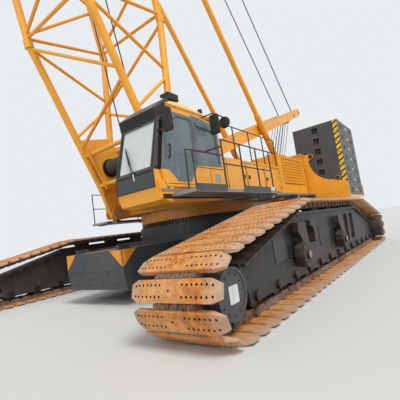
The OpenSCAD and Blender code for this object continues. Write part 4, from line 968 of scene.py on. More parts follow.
def build_screen_trim():
    """Frame, brow, lower panel and wiper of the windscreen; the brow is black as painted shade under the
    visor.
    """
    bm = bmesh.new()
    y0, y1 = SCREEN_Y
    height = (SCREEN_TOP - SCREEN_FOOT).length

    def outwards(d):
        """A step off the windscreen."""
        return on_screen(0, 0, d) - on_screen(0, 0)

    opening = rect(y0 + 0.075, y1 - 0.080, 0.065, height - 0.045)
    add_frame(bm, rect(y0, y1, 0.0, height), opening, on_screen, outwards(0.006))
    panel = rect(y0, y1, 2.112, 2.405)
    add_prism(bm, panel, front_at(NOSE_X), (0.006, 0, 0), mat=3)
    add_rim(bm, panel, 0.016, front_at(NOSE_X + 0.006), (0.004, 0, 0), mat=1)
    # black brow: painted shade under the visor
    add_prism(bm, SHADED_BROW, side_at(y0), (0, y1 - y0, 0), mat=1)
    add_box(bm, at(NOSE_X - 0.004, y0, 2.400), at(NOSE_X + 0.007, y1, 2.426), mat=1)
    reveal = rect(y0 + 0.066, y1 - 0.066, 0.048, height - 0.006)
    add_rim(bm, reveal, 0.012, on_screen, outwards(-0.014), mat=1)
    for y in (y0 + 0.04, y1 - 0.04):
        add_rod(bm, on_screen(y, 0.05, 0.010), on_screen(y, height - 0.03, 0.010), 0.009, mat=1)
    # wiper: motor cap, twin arms and the blade beside them
    y = WIPER_Y
    add_rod(bm, on_screen(y, 0.02), on_screen(y, 0.02, 0.045), 0.030, sides=14, mat=1)
    for shift in (0.0, 0.040):
        add_pipe(bm, [on_screen(y + shift, 0.02, 0.035), on_screen(y + shift - 0.12, 0.26, 0.045),
                      on_screen(y + shift / 2 - 0.25, 0.54, 0.036)], 0.007, mat=1)
    add_pipe(bm, [on_screen(y - 0.05, 0.08, 0.018), on_screen(y - 0.29, 0.62, 0.018)], 0.010, mat=1)
    # washer nozzle hanging under the wiper
    y += 0.03
    add_pipe(bm, [on_screen(y, 0.01, 0.03), at(4.225, y, 2.38), at(4.215, y, 2.31)], 0.012, mat=2)
    new_piece("cab_screen_trim", bm, "superstructure", "gloss_black rubber white grey_panel")


def build_roof():
    """Domed roof over a darker side band, with its visor and the black painted shade under it, lamp and lens.
    """
    def crown(u, power=2.6, root=0.5):
        """A bulge: 0 at both ends of the way from 0 to 1, and 1 in its middle."""
        return max(0.0, 1 - abs(2 * u - 1) ** power) ** root

    bm = bmesh.new()
    columns, rows = 36, 24
    grid = []
    for i in range(columns + 1):
        u = i / columns
        x = ROOF_X[0] + (ROOF_X[1] - ROOF_X[0]) * (1 - math.cos(math.pi * u)) / 2
        t = (x - ROOF_X[0]) / (ROOF_X[1] - ROOF_X[0])
        inner = ROOF_Y[0] if x < ROOF_NOSE[0] else ROOF_NOSE[1]
        line = []
        for k in range(rows + 1):
            v = (1 - math.cos(math.pi * k / rows)) / 2
            z = ROOF_Z[1] + (ROOF_Z[2] - ROOF_Z[1]) * crown(t ** 1.7, 2.0, 0.6) * crown(v)
            line.append(bm.verts.new(at(x, inner + (ROOF_Y[1] - inner) * v, z)))
        grid.append(line)
    for a, b in zip(grid, grid[1:]):
        for k in range(rows):
            bm.faces.new((a[k], b[k], b[k + 1], a[k + 1]))
    new_piece("cab_roof_dome", bm, "superstructure", "yellow_pale", smooth=True)
    bm = bmesh.new()
    plan = [(ROOF_X[0], ROOF_Y[0]), (ROOF_NOSE[0], ROOF_Y[0]), (ROOF_NOSE[0], ROOF_NOSE[1]),
            (ROOF_X[1], ROOF_NOSE[1]), (ROOF_X[1], ROOF_Y[1]), (ROOF_X[0], ROOF_Y[1])]
    add_prism(bm, plan, top_at(ROOF_Z[0]), (0, 0, ROOF_Z[1] - ROOF_Z[0] + 0.004))
    # the side band takes the darker yellow: grime and painted shade
    new_piece("cab_roof_band", bm, "superstructure", "yellow_grimy_shaded", bevel=0.018, replaces=["cab_roof"])
    bm = bmesh.new()
    # [outline, its inner side, width, finish], from the visor's shell to the black panel under its tip; that
    # panel and the black cheeks beside it are painted shade under the visor
    for outline, y, width, mat in (
        [(VISOR, 1.410, 0.950, 0)] + [(VISOR_RIB, y, 0.012, 0) for y in (1.42, 1.84, 2.34)]
        + [(VISOR_SHADE_PANEL, 1.412, 0.946, 1), (VISOR_SHADE_CHEEK, 1.412, 0.008, 1), (VISOR_SHADE_CHEEK, 2.350, 0.008, 1)]
    ):
        add_prism(bm, outline, side_at(y), (0, width, 0), mat)
    new_piece("cab_visor", bm, "superstructure", "slate rubber", bevel=0.004)
    bm = bmesh.new()
    add_box(bm, at(3.09, 2.06, 3.935), at(3.40, 2.28, 4.075))
    # round lamp at the visor's outer end
    add_rod(bm, at(3.600, 2.300, 3.800), at(3.660, 2.300, 3.815), 0.050, sides=24)
    add_rod(bm, at(3.658, 2.300, 3.815), at(3.668, 2.300, 3.8175), 0.042, sides=24, mat=1)
    for x, y in ((2.30, 1.62), (2.30, 2.22)):
        add_rod(bm, at(x, y, 3.88), at(x, y, 3.965), 0.055, sides=18, r2=0.048)
    new_piece("cab_roof_lamp", bm, "superstructure", "rubber lens", bevel=0.012)


def build_seat():
    """Blue seat on its column, arm consoles with levers, and a screen."""
    pads = []
    # [piece, low corner, high corner, how far it may swell]
    for name, lo, hi, cap in (("seat_cushion", (2.66, 1.63, 2.385), (3.17, 2.075, 2.490), 0.012),
                              ("seat_back", (2.535, 1.64, 2.470), (2.650, 2.065, 3.120), 0.010)):
        bm = bmesh.new()
        add_box(bm, at(*lo), at(*hi))
        pads.append((new_piece(name, bm, "superstructure", "seat"), cap))
    for pad, cap in pads:
        stuff_pad(pad, cap)
    bm = bmesh.new()
    y = SEAT_MIDDLE
    # foot and head of the column, then the screen
    add_boxes(bm, [(2.76, 3.08, y - 0.16, y + 0.16, 1.962, 2.02, 0),
                   (2.68, 3.14, y - 0.20, y + 0.20, 2.350, 2.380, 0),
                   (3.655, 3.690, 2.05, 2.29, 2.60, 2.80, 1)])
    column = [(2.80, 2.02), (3.04, 2.02), (2.98, 2.36), (2.86, 2.36)]
    add_prism(bm, column, side_at(y - 0.12), (0, 0.24, 0))
    console = [(2.80, 1.975), (3.36, 1.975), (3.37, 2.44), (3.30, 2.515), (2.80, 2.500)]
    for y in (SEAT_MIDDLE - 0.34, SEAT_MIDDLE + 0.34):
        add_prism(bm, console, side_at(y - 0.065), (0, 0.13, 0))
        add_pipe(bm, [at(3.24, y, 2.50), at(3.25, y, 2.60), at(3.28, y, 2.68)], 0.012, mat=1)
        add_rod(bm, at(3.28, y, 2.66), at(3.285, y, 2.72), 0.024, sides=12, mat=1)
    add_pipe(bm, [at(3.50, 2.20, 1.97), at(3.62, 2.20, 2.45), at(3.66, 2.18, 2.62)], 0.018)
    new_piece("cab_consoles", bm, "superstructure", "black rubber", bevel=0.012, replaces=["cab_seat"])


def stuff_pad(pad, cap):
    """Swells a block of foam by a short cloth simulation. No point goes further than cap."""
    bm = bmesh.new()
    bm.from_mesh(pad.data)
    bmesh.ops.subdivide_edges(bm, edges=bm.edges, cuts=2, use_grid_fill=True)
    bm.to_mesh(pad.data)
    bm.free()
    remesh = pad.modifiers.new("Even mesh", "REMESH")
    remesh.mode = "VOXEL"
    remesh.voxel_size = PAD_CELL
    apply_to(pad, remesh)
    start = [v.co.copy() for v in pad.data.vertices]
    cloth = pad.modifiers.new("Stuffing", "CLOTH")
    cloth.settings.use_pressure = True
    cloth.settings.uniform_pressure_force = 4.0
    cloth.settings.effector_weights.gravity = 0.0
    for f in range(1, SWELL_FRAMES + 1):
        bpy.context.scene.frame_set(f)
    bpy.context.view_layer.update()
    apply_to(pad, cloth)
    for v, rest in zip(pad.data.vertices, start):
        way = v.co - rest
        if way.length > cap:
            v.co = rest + way * (cap / way.length)
    bpy.context.scene.frame_set(1)
    pad.data.shade_smooth()


def apply_to(piece, modifier):
    """Applies one modifier to a piece's mesh."""
    with bpy.context.temp_override(object=piece, active_object=piece):
        bpy.ops.object.modifier_apply(modifier=modifier.name)


def build_mirrors():
    """Mirrors with rounded casings, their glass and the tubes that carry them."""
    bm = bmesh.new()
    front_case = [(2.525, 3.060), (2.745, 3.060), (2.735, 3.480), (2.535, 3.480)]
    add_prism(bm, rounded(front_case, 0.06, 6), front_at(3.915), (0.062, 0, 0))
    add_prism(bm, rounded(rect(2.592, 2.815, 3.212, 3.638), 0.05, 6), front_at(2.505), (0.055, 0, 0))
    add_rod(bm, at(2.092, *ROUND_MIRROR), at(2.158, *ROUND_MIRROR), 0.134, sides=36, r2=0.120)
    new_piece("mirror_casings", bm, "superstructure", "rubber", smooth=True, bevel=0.014,
              replaces=["mirrors"])
    bm = bmesh.new()
    for y0, y1, z0, z1, x in ((2.545, 2.725, 3.085, 3.455, 3.913), (2.612, 2.795, 3.240, 3.610, 2.503)):
        add_prism(bm, rounded(rect(y0, y1, z0, z1), 0.04, 6), front_at(x), (0.003, 0, 0))
    add_rod(bm, at(2.091, *ROUND_MIRROR), at(2.093, *ROUND_MIRROR), 0.112, sides=36)
    new_piece("mirror_glass", bm, "superstructure", "mirror")
    bm = bmesh.new()
    for tube in (
        ((3.945, 2.401, 3.140), (3.945, 2.440, 3.140), (3.950, 2.600, 3.140)),
        ((3.900, 2.401, 3.340), (3.900, 2.440, 3.340), (3.950, 2.600, 3.340)),
        ((2.530, 2.401, 3.672), (2.530, 2.680, 3.672), (2.530, 2.700, 3.655), (2.530, 2.700, 3.600)),
        ((2.530, 2.690, 3.672), (2.160, 2.690, 3.672), (2.125, 2.695, 3.640)),
    ):
        add_pipe(bm, [at(*p) for p in tube], 0.014)
    new_piece("mirror_tubes", bm, "superstructure", "black", smooth=True)


class CRANE_OT_cab(bpy.types.Operator):
    """Cab: window frames, seals, roof, visor, wiper and seat"""

    bl_idname = "crane.cab"
    bl_label = "Cab"

    def execute(self, context):
        build_door_trim()
        build_wall_trim()
        build_screen_trim()
        build_roof()
        build_grab_rails()
        build_mirrors()
        build_seat()
        return {"FINISHED"}


# Deck: walkways, rails, housings

WALKWAYS = ((0.66, 1.94, 2.235, 2.985), (1.96, 3.87, 2.470, 2.985), (-4.14, 1.77, -2.985, -2.235))
KICK_PLATES = ((0.95, 2.26), (2.91, 3.86))
KICK_FACE = 3.008
KICK_BOLT_PITCH = 0.2
HOUSE_FACE = 2.220
HOUSE_ROOFS = (2.9503, 3.4103)
HOUSE_PANELS = ((-1.70, -0.60), (-0.55, 0.50), (0.55, 0.78), (1.50, 1.74))
PANEL_Z = (2.12, 2.90)
LOUVRES = 8
LOUVRE_X = (-3.85, -2.15)
LOUVRE_Z = 2.4703
EYE = ((-0.07, 0), (0.07, 0), (0.03, 0.08), (-0.03, 0.08))


def build_walkways():
    """Gratings on the decks, and the slate and steel plates along their edges."""
    bm = bmesh.new()
    low, high = WALK_TOP - 0.001, WALK_TOP + 0.009
    for x0, x1, y0, y1 in WALKWAYS:
        add_rim(bm, rect(x0, x1, y0, y1), 0.030, top_at(WALK_TOP), (0, 0, 0.012))
        add_boxes(bm, [(x - 0.006, x + 0.006, y0, y1, low, high, 0) for x in between(x0, x1, 0.085)])
        add_boxes(bm, [(x0, x1, y - 0.003, y + 0.003, WALK_TOP, WALK_TOP + 0.006, 0)
                       for y in between(y0, y1, 0.12)])
    new_piece("walkway_gratings", bm, "superstructure", "steel")
    bm = bmesh.new()
    for x0, x1 in KICK_PLATES:
        add_boxes(bm, [(x0, x1, KICK_FACE - 0.004, KICK_FACE, 1.935, 2.070, 0)])
        n = round((x1 - x0) / KICK_BOLT_PITCH)
        spots = [at(x0 + 0.04 + (x1 - x0 - 0.08) * k / n, KICK_FACE, 1.955) for k in range(n + 1)]
        add_bolts(bm, spots, (0, 1, 0), 0.010, 0.007, mat=1)
    # steel edge below the plates, and the white end block at the walkway's rear
    add_boxes(bm, [(0.64, 3.87, KICK_FACE - 0.008, KICK_FACE - 0.002, 1.925, 1.945, 1),
                   (0.70, 0.92, 2.80, 3.00, 1.985, 2.075, 2)])
    new_piece("walkway_kick_plates", bm, "superstructure", "slate steel white", bevel=0.003)


def build_housings():
    """Panel seams, hinges, latches and vents of the two side housings."""
    bm = bmesh.new()
    z0, z1 = PANEL_Z
    zm = (z0 + z1) / 2
    for side in (1, -1):
        y = side * HOUSE_FACE
        out = side * 0.006
        for x0, x1 in HOUSE_PANELS:
            add_rim(bm, rounded(rect(x0, x1, z0, z1), 0.03), 0.010, side_at(y), (0, out, 0), mat=1)
            for z in (z0 + 0.14, z1 - 0.14):
                add_rod(bm, at(x0 + 0.02, y, z - 0.04), at(x0 + 0.02, y, z + 0.04), 0.012, mat=1)
            latch = rounded(rect(x1 - 0.14, x1 - 0.05, zm - 0.05, zm + 0.05), 0.015)
            add_prism(bm, latch, side_at(y), (0, 2 * out, 0), mat=1)
        # louvre lips of the tall part
        for i in range(LOUVRES):
            z = LOUVRE_Z + 0.1 * i
            add_prism(bm, [(0, 0), (0.024, 0), (0, 0.05)],
                      lambda d, h: at(LOUVRE_X[0], y + side * (d - 0.004), z + h),
                      (LOUVRE_X[1] - LOUVRE_X[0], 0, 0))
        add_rim(bm, rounded(rect(-3.95, -2.05, 2.42, 3.29), 0.03), 0.014, side_at(y), (0, out, 0), mat=1)
        # lifting eyes on the roofs
        low, high = HOUSE_ROOFS
        for x, z in ((-3.9, high), (-2.0, high), (-1.5, low), (1.5, low)):
            add_prism(bm, EYE, upright_at(at(x, side * 1.75, z)), (0, 0.02, 0), mat=1)
    new_piece("housing_trim", bm, "superstructure", "yellow rubber")
    # exhaust and two air filters
    bm = bmesh.new()
    x, y = -3.2, -1.70
    add_rod(bm, at(x, y, 3.41), at(x, y, 3.78), 0.085, sides=24)
    bend = [at(x, y, 3.76), at(x, y, 3.86), at(x - 0.06, y, 3.93), at(x - 0.16, y, 3.96)]
    add_pipe(bm, bend, 0.065, 20)
    for x in (-3.75, -2.65):
        add_rod(bm, at(x, -1.75, 3.41), at(x, -1.75, 3.56), 0.16, sides=28, mat=1)
        add_rod(bm, at(x, -1.75, 3.56), at(x, -1.75, 3.60), 0.18, sides=28, mat=1)
    new_piece("exhaust_and_filters", bm, "superstructure", "grease black", smooth=True)


class CRANE_OT_deck(bpy.types.Operator):
    """Walkways, kick plates, housing panels and louvres"""

    bl_idname = "crane.deck"
    bl_label = "Deck"

    def execute(self, context):
        build_walkways()
        build_housings()
        return {"FINISHED"}


# Undercarriage

FRAME_FACE = 4.010
ROLLERS = 13
ROLLER_REACH = 4.251
ROLLER_Z = 0.3203
ROLLER_CAP = 4.050
COVER_FACE = 4.150
LUG_XS = (2.620, -0.060)
LUG_PIN = (4.250, 0.620)
# [rear, front, low, high, how far it stands out, finish]; finish 2 is the near-black painted shade that also
# fills the shoes' holes
COVERS = ((3.07, 3.52, 0.62, 1.05, 0.012, 1), (2.30, 2.97, 0.60, 0.84, 0.010, 2),
          (0.55, 1.20, 0.62, 1.02, 0.012, 0), (-0.60, 0.35, 0.58, 0.90, 0.010, 2),
          (-2.35, -1.75, 0.62, 1.05, 0.012, 0))
FLANGE_BOLTS = 9
FLANGE_FACE = 4.070
DRIVE_BOLTS = ((4.328, 0.29, 16), (4.344, 0.13, 10))    # [face, radius, number]
TEETH = 110
TOOTH = ((1.715, -0.030), (1.755, -0.016), (1.755, 0.016), (1.715, 0.030))
TOOTH_Z = (1.575, 0.090)
RING_BOLTS = (1.765, 60)
RING_BOLT_Z = 1.5605


def build_frame_sides():
    """Covers, roller caps, flange bolts and lug pins along each crawler frame."""
    bm = bmesh.new()
    for side in (1, -1):
        def on_face(x, z, y=FRAME_FACE):
            """A point on the frame's outer face, or at another y."""
            return at(x, side * y, z)

        out = Vector((0, side, 0))
        for x0, x1, z0, z1, d, mat in COVERS:
            add_prism(bm, rounded(rect(x0, x1, z0, z1), 0.035), on_face, out * d, mat=mat)
            corners = rect(x0 + 0.04, x1 - 0.04, z0 + 0.04, z1 - 0.04)
            add_bolts(bm, [on_face(x, z) + out * d for x, z in corners], out, 0.013, 0.010)
        for i in range(ROLLERS):
            cap = on_face(-ROLLER_REACH + 2 * ROLLER_REACH * i / (ROLLERS - 1), ROLLER_Z, ROLLER_CAP)
            add_rod(bm, cap - out * 0.02, cap + out * 0.012, 0.058, sides=20, mat=3)
            add_rod(bm, cap, cap + out * 0.026, 0.020, sides=8)
            add_face_bolts(bm, cap + out * 0.012, 0.042, 6, out, size=0.008)
        # bolts along the sloping flange, ahead and behind
        for s in (1, -1):
            for k in range(FLANGE_BOLTS):
                t = (k + 0.5) / FLANGE_BOLTS
                spot = on_face(s * (2.36 + 2.10 * t), 1.325 - 0.58 * t, FLANGE_FACE)
                add_bolts(bm, [spot], out, h=0.012)
        # round covers on the final drives' ends
        for y, r, n in DRIVE_BOLTS:
            add_face_bolts(bm, on_face(-END_X, END_RADIUS, y), r, n, out)
        for x in LUG_XS:
            pin = on_face(x, LUG_PIN[1], LUG_PIN[0])
            add_rod(bm, pin, pin + out * 0.012, 0.060, sides=20, mat=4)
            add_face_bolts(bm, pin - out * 0.030, 0.150, 8, out, size=0.012)
    new_piece("crawler_frame_fittings", bm, "undercarriage", "frame slate hole slate steel", bevel=0.003)


def build_idler_covers():
    """Ribs, bolts and a blank sticker on the idlers' outer covers."""
    bm = bmesh.new()
    for side in (1, -1):
        centre = at(END_X, side * COVER_FACE, END_RADIUS)
        out = Vector((0, side, 0))
        place = upright_at(centre)
        add_rod(bm, centre - out * 0.195, centre + out * 0.001, 0.298, sides=48)
        add_frame(bm, circle(0.30, 48), circle(0.262, 48), place, out * 0.012)
        add_face_bolts(bm, centre, 0.225, 12, out)
        add_prism(bm, rounded(rect(-0.12, 0.07, -0.11, 0.09), 0.02), place, out * 0.003, mat=1)
    new_piece("idler_covers", bm, "undercarriage", "slate white")


def build_slewing_ring():
    """Gear teeth and the circle of bolts on the slewing ring."""
    bm = bmesh.new()
    z, height = TOOTH_Z
    for i in range(TEETH):
        turn = Matrix.Rotation(2 * math.pi * i / TEETH, 3, "Z")
        add_prism(bm, TOOTH, lambda x, y: at(0, 0, z) + turn @ Vector((x, y, 0)), (0, 0, height))
    new_piece("slewing_teeth", bm, "undercarriage", "grease")
    bm = bmesh.new()
    spots = [at(x, y, RING_BOLT_Z) for x, y in circle(*RING_BOLTS)]
    add_bolts(bm, spots, (0, 0, 1), 0.018, 0.022)
    new_piece("slewing_ring_bolts", bm, "undercarriage", "grease")


class CRANE_OT_undercarriage(bpy.types.Operator):
    """Covers, caps and bolts of the crawler frames and the slewing ring"""

    bl_idname = "crane.undercarriage"
    bl_label = "Undercarriage"

    def execute(self, context):
        build_frame_sides()
        build_idler_covers()
        build_slewing_ring()
        return {"FINISHED"}


# Ballast and counterweights

BALLAST_X = 3.950
BALLAST_Y = 1.000
BALLAST_TOP = 1.135
TRIANGLE = (0.010, 0.790, 1.130)    # [from the edge, low, high]
MARK = 0.003
SLABS = 7
SLAB_Z = 1.8103
SLAB_H = 0.407
STACK_X = (-6.870, -4.4203)
STACK_Y = (1.940, 3.630)
BAND = 0.17
LUG = ((0.09, 0), (0.09, 0.09), (0.04, 0.14), (-0.04, 0.14), (-0.09, 0.09), (-0.09, 0))
LUG_EYE = ((0.03, 0.05), (0.03, 0.085), (0.015, 0.10), (-0.015, 0.10), (-0.03, 0.085), (-0.03, 0.05))
WING_FACE = -4.340
WING_EYES = ((2.485, 3.500), (3.320, 2.500))
WING_EDGE = ((1.12, 3.62), (1.48, 3.70), (2.10, 3.69), (2.30, 3.58))
WING_RIB = ((0, 2.05), (0.05, 2.10), (0.05, 3.20), (0, 3.30))


def build_ballast_trim():
    """Seams, lifting pockets, triangles and hooks of the ballast blocks."""
    bm = bmesh.new()
    edge, low, high = TRIANGLE
    for s in (1, -1):
        x, out = s * BALLAST_X, Vector((s, 0, 0))

        def inwards(near, far, y0, y1):
            """A rectangle (x, y or z) between two distances from the block's front."""
            return rect(*sorted((x - s * near, x - s * far)), y0, y1)

        for side in (1, -1):
            flank, face = side_at(side * BALLAST_Y), Vector((0, side, 0))
            # triangles on the upper corners, on the front and on the side
            front = [(side * 0.985, high), (side * 0.620, high), (side * 0.985, low)]
            add_prism(bm, front, front_at(x), out * MARK, mat=1)
            corner = [(x - s * edge, high), (x - s * 0.400, high), (x - s * edge, low)]
            add_prism(bm, corner, flank, face * MARK, mat=1)
            add_prism(bm, rounded(inwards(1.60, 1.05, 0.80, 1.02), 0.03), flank, face * 0.008)
            # eye plates on top
            for y in (side * 0.74 - 0.046, side * 0.74 + 0.040):
                eye = [at(x - s * 0.27, d, 1.18) for d in (y, y + 0.006)]
                add_rod(bm, *eye, 0.030, sides=16, mat=2)
        # seam between the tiers, hooks and bolts below it
        back, front = sorted((x - s * 0.02, x + s * 0.004))
        add_box(bm, at(back, -0.915, 0.716), at(front, 0.915, 0.728), mat=2)
        for y in (-0.42, 0.50):
            add_pipe(bm, [at(x - s * 0.02, y, 0.69), at(x + s * 0.022, y, 0.685), at(x + s * 0.026, y, 0.645),
                          at(x + s * 0.012, y + 0.02, 0.630)], 0.008, mat=2)
        spots = [at(x - s * 0.042, y, 0.45) for y in (-0.70, -0.25, 0.25, 0.70)]
        add_bolts(bm, spots, out, 0.026, 0.012, mat=2)
        # dusty lids on top
        for y0, y1 in ((-0.62, -0.06), (0.02, 0.62)):
            lid = rounded(inwards(0.95, 0.20, y0, y1), 0.05)
            add_prism(bm, lid, top_at(BALLAST_TOP), (0, 0, 0.018), mat=3)
    new_piece("ballast_trim", bm, "undercarriage", "slate orange black dusty", bevel=0.002)


def build_counterweight_trim():
    """Marks, triangles, pockets, lifting lugs and painted seam shadows of the counterweight slabs."""
    bm = bmesh.new()
    x0, x1 = STACK_X
    y0, y1 = STACK_Y
    ym = (y0 + y1) / 2
    for side in (1, -1):
        out = Vector((0, side, 0))
        flank, front = side_at(side * y1), front_at(x1)
        near, far = side * (y1 - BAND), side * (y1 - 0.005)
        for i in range(SLABS):
            z0 = SLAB_Z + i * SLAB_H
            z1 = z0 + SLAB_H
            # white mark on the outer side
            add_prism(bm, rect(-5.78, -5.62, z0 + 0.17, z0 + 0.25), flank, out * MARK)
            # slanted stripes down the outer front edge: black on a yellow band
            add_prism(bm, rect(near, far, z0 + 0.010, z1 - 0.010), front, (0.002, 0, 0), mat=1)
            for z in (z0 + 0.03, z0 + 0.23):
                stripe = [(near, z), (far, z + 0.10), (far, z + 0.17), (near, z + 0.07)]
                add_prism(bm, stripe, front, (MARK, 0, 0), mat=2)
            # pocket with a rounded lip and a bar on the front, two pockets on the side
            pocket = rect(side * ym - 0.125, side * ym + 0.125, z0 + 0.075, z1 - 0.095)
            add_rim(bm, rounded(pocket, 0.03), 0.016, front, (0.006, 0, 0), mat=3)
            bar = [at(x1 - 0.06, side * ym, z) for z in (z0 + 0.10, z1 - 0.12)]
            add_rod(bm, *bar, 0.026, sides=12, mat=4)
            for x in (x1 - 0.50, x0 + 0.50):
                pocket = rect(x - 0.075, x + 0.075, z0 + 0.105, z1 - 0.105)
                add_rim(bm, rounded(pocket, 0.02), 0.016, flank, out * 0.005, mat=3)
            # seam shadow between the slabs
            low, high = sorted((side * (y0 + 0.01), side * (y1 - 0.004)))
            add_box(bm, at(x0 + 0.02, low, z0 - 0.004), at(x1 - 0.004, high, z0 + 0.002), mat=2)
        # lifting lugs on the top slab
        top = SLAB_Z + SLABS * SLAB_H - 0.0004
        for x in (x0 + 0.55, x1 - 0.55):
            for y in (y0 + 0.35, y1 - 0.35):
                add_frame(bm, LUG, LUG_EYE, upright_at(at(x, side * y - 0.015, top)), (0, 0.03, 0), mat=3)
    new_piece("counterweight_marks", bm, "superstructure", "white hazard_yellow hazard_black slate grease")


def build_wing_trim():
    """Stiffening flanges and bushes of the wing plates that carry the stacks."""
    bm = bmesh.new()
    place = front_at(WING_FACE)
    for side in (1, -1):
        for y, z in WING_EYES:
            ring, hole = circle(0.082, 32, side * y, z), circle(0.034, 32, side * y, z)
            add_frame(bm, ring, hole, place, (0.016, 0, 0), mat=1)
        for (ya, za), (yb, zb) in zip(WING_EDGE, WING_EDGE[1:]):
            flange = [(side * ya, za), (side * yb, zb), (side * yb, zb - 0.03), (side * ya, za - 0.03)]
            add_prism(bm, flange, place, (0.060, 0, 0))
        for y in (1.35, 1.85):
            add_prism(bm, WING_RIB, upright_at(at(WING_FACE, side * y, 0)), (0, 0.03, 0))
        spots = [at(WING_FACE, side * y, z) for y in (1.15, 1.25) for z in (2.2, 2.4, 2.6, 2.8)]
        add_bolts(bm, spots, (1, 0, 0), 0.02, 0.016, mat=1)
    new_piece("wing_plate_trim", bm, "superstructure", "yellow black", bevel=0.003)


class CRANE_OT_weights(bpy.types.Operator):
    """Triangles, marks, pockets and eyes of the ballast and counterweights"""

    bl_idname = "crane.weights"
    bl_label = "Weights"

    def execute(self, context):
        build_ballast_trim()
        build_counterweight_trim()
        build_wing_trim()
        return {"FINISHED"}


# Boom, mast, ropes and hook

BOOM_LENGTH = 23.600
JOINTS_U = (9.000, 15.000)
CHORD_Y, CHORD_W = 1.200, 1.150
ROPE_R = 0.016
ROPE_PITCH = 0.034
# [drum, radius, half length]
DRUMS = (("luffing_drum", 0.222, 0.90), ("second_drum", 0.222, 0.90), ("main_drum", 0.204, 0.80))
COIL_STEPS = 4
COIL_SIDES = 40
FALLS = 5
FALL_PITCH = 0.150
MAST_LENGTH = 11.600
MAST_SIDE = 0.72
JOINT_EAR = ((-0.17, -0.085), (0.17, -0.085), (0.17, 0.085), (-0.17, 0.085))
FOOT_FACES = (1.372, 1.005)


def add_coil(bm, centre, r, half):
    """Rope laid on a drum: a row of rounded ridges around a line along Y."""
    steps = round(2 * half / ROPE_PITCH) * COIL_STEPS
    rings = []
    for k in range(steps + 1):
        y = -half + 2 * half * k / steps
        bulge = r + ROPE_PITCH * 0.42 * abs(math.sin(math.pi * k / COIL_STEPS))
        rings.append([bm.verts.new(centre + Vector((x, y, z))) for x, z in circle(bulge, COIL_SIDES)])
    join_rings(bm, rings, capped=False)


def build_drums():
    """Rope on the three drums."""
    for drum, r, half in DRUMS:
        centre = joint_place(drum + "_spin")
        centre.y = 0.0
        bm = bmesh.new()
        add_coil(bm, centre, r, half)
        new_piece(drum + "_rope", bm, drum, "rope", smooth=True)


def build_ropes():
    """Hoist ropes up the boom, and the reeving between the luffing blocks."""
    bm = bmesh.new()
    rise = on_boom(0, 0, 0.40) - BOOM_PIVOT
    for y in (-0.12, 0.12):
        guide = on_boom(BOOM_LENGTH - 1.2, y, 0.62)
        head = joint_place("head_sheaves_spin") + rise
        head.y = y * 0.6
        add_pipe(bm, [on_boom(1.25, y * 3, 0.24), guide], ROPE_R)
        add_pipe(bm, [guide, on_boom(BOOM_LENGTH - 0.2, y, -0.30), head], ROPE_R)
    new_piece("hoist_ropes", bm, "boom", "rope")
    # each luffing block carries its half of the falls
    top = on_mast(MAST_LENGTH - 0.9, 0, 0.06)
    foot = joint_place("frame_block_swivel")
    foot.y = 0.0
    middle = (top + foot) / 2
    across = (top - foot).normalized().cross(Vector((0, 1, 0))).normalized()
    for name, body, start, spread in (("luffing_falls_mast", "mast", top, 0.255),
                                      ("luffing_falls_frame", "frame_block", foot, 0.215)):
        bm = bmesh.new()
        for i in range(FALLS):
            y = Vector((0, (i - FALLS // 2) * FALL_PITCH, 0))
            for shift in (-across, across):
                add_pipe(bm, [start + shift * spread + y, middle + shift * 0.235 + y], ROPE_R * 0.8, 7)
        new_piece(name, bm, body, "rope")


def build_boom_fittings():
    """Pin lugs at the boom's joints, and the caps of its foot pins."""
    bm = bmesh.new()
    for u, y, w in [(u, sy * CHORD_Y, sw * CHORD_W) for u in JOINTS_U for sy in (-1, 1) for sw in (-1, 1)]:
        for d in (-0.066, 0.038):
            add_prism(bm, JOINT_EAR, lambda a, b: on_boom(u + a, y + d, w + b), (0, 0.028, 0))
        add_rod(bm, on_boom(u, y - 0.125, w), on_boom(u, y + 0.125, w), 0.042, sides=16, mat=1)
        for e in (-0.125, 0.125):
            add_rod(bm, on_boom(u, y + e * 0.9, w), on_boom(u, y + e * 1.06, w), 0.060, sides=6, mat=1)
    new_piece("boom_joint_pins", bm, "boom", "yellow steel", bevel=0.003)
    bm = bmesh.new()
    for side in (-1, 1):
        for y in FOOT_FACES:
            low, high = [Vector((BOOM_PIVOT.x, side * d, BOOM_PIVOT.z)) for d in (y, y + 0.02)]
            add_rod(bm, low, high, 0.105, sides=24)
            add_face_bolts(bm, high, 0.080, 6, (0, side, 0), size=0.012)
    new_piece("boom_foot_caps", bm, "superstructure", "steel")


def build_mast_fittings():
    """Pin caps, ribs and edge flanges of the mast."""
    bm = bmesh.new()
    for s in (-1, 1):
        y = s * MAST_SIDE
        for u, w, r in ((MAST_LENGTH, 0.0, 0.095), (MAST_LENGTH - 0.9, 0.06, 0.085)):
            low = on_mast(u, y, w)
            high = low + Vector((0, s * 0.022, 0))
            add_rod(bm, low, high, r, sides=24, mat=1)
            add_face_bolts(bm, high, r * 0.72, 6, (0, s, 0), size=0.010, mat=1)
        # [start, end, low, high, how far it stands out]: six ribs, and a flange along each edge
        for u0, u1, w0, w1, d in (
            [(u, u + 0.02, -0.17, 0.17, 0.012) for u in (1.6, 3.2, 4.8, 6.4, 8.0, 9.6)]
            + [(0.95, MAST_LENGTH - 0.1, w, w + 0.015, 0.010) for w in (-0.205, 0.190)]
        ):
            add_prism(bm, rect(u0, u1, w0, w1), lambda u, w: on_mast(u, y, w), (0, s * d, 0))
    new_piece("mast_fittings", bm, "mast", "yellow steel")


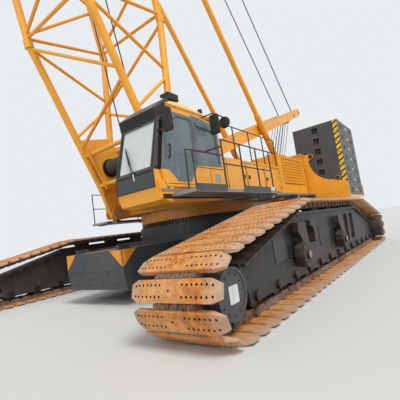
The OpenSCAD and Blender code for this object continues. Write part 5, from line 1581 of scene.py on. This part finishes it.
def build_hook_trim():
    """Slanted stripes, pin caps and rope guard of the hook block."""
    bm = bmesh.new()
    c = joint_place("hook_swivel") + Vector((0, 0, 0.7))
    for s in (-1, 1):
        for k in range(3):
            z, half = -0.52 + 0.22 * k, 0.165 + 0.055 * k
            stripe = [(-half, z), (half, z + 0.06), (half + 0.02, z + 0.15), (-half, z + 0.09)]
            add_prism(bm, stripe, upright_at(c + Vector((0, s * 0.355, 0))), (0, s * MARK, 0))
        low, high = [c + Vector((0, s * y, 0)) for y in (0.375, 0.40)]
        add_rod(bm, low, high, 0.085, sides=24, mat=1)
        add_face_bolts(bm, high, 0.06, 6, (0, s, 0), size=0.010, mat=1)
    for x in (-0.20, 0.20):
        add_rod(bm, c + Vector((x, -0.33, 0.30)), c + Vector((x, 0.33, 0.30)), 0.018, mat=1)
    new_piece("hook_block_trim", bm, "hook_block", "hazard_black steel")


class CRANE_OT_lifting(bpy.types.Operator):
    """Ropes, pins and caps of the boom, mast and hook"""

    bl_idname = "crane.lifting"
    bl_label = "Lifting gear"

    def execute(self, context):
        build_drums()
        build_ropes()
        build_boom_fittings()
        build_mast_fittings()
        build_hook_trim()
        return {"FINISHED"}


OPERATORS = [
    CRANE_OT_stage, CRANE_OT_finishes, CRANE_OT_tracks, CRANE_OT_cab, CRANE_OT_deck, CRANE_OT_undercarriage,
    CRANE_OT_weights, CRANE_OT_lifting,
]


class CRANE_PT_panel(bpy.types.Panel):
    """Lists the dressing's steps"""

    bl_label = "Crane"
    bl_space_type = "VIEW_3D"
    bl_region_type = "UI"
    bl_category = "Crane"

    def draw(self, context):
        """Draws the settings and the steps' buttons."""
        look = context.scene.crane_look
        for key in ("yellow", "slate", "track_middle"):
            self.layout.prop(look, key)
        for op in OPERATORS:
            self.layout.operator(op.bl_idname)


CLASSES = [CraneLook] + OPERATORS + [CRANE_PT_panel]


def register():
    """Registers the operators, the panel and the settings."""
    for c in CLASSES:
        bpy.utils.register_class(c)
    bpy.types.Scene.crane_look = bpy.props.PointerProperty(type=CraneLook)


def unregister():
    """Takes them out again."""
    del bpy.types.Scene.crane_look
    for c in reversed(CLASSES):
        bpy.utils.unregister_class(c)


def main():
    """Runs every step."""
    register()
    for op in OPERATORS:
        area, name = op.bl_idname.split(".")
        getattr(getattr(bpy.ops, area), name)()


if __name__ == "__main__":
    main()
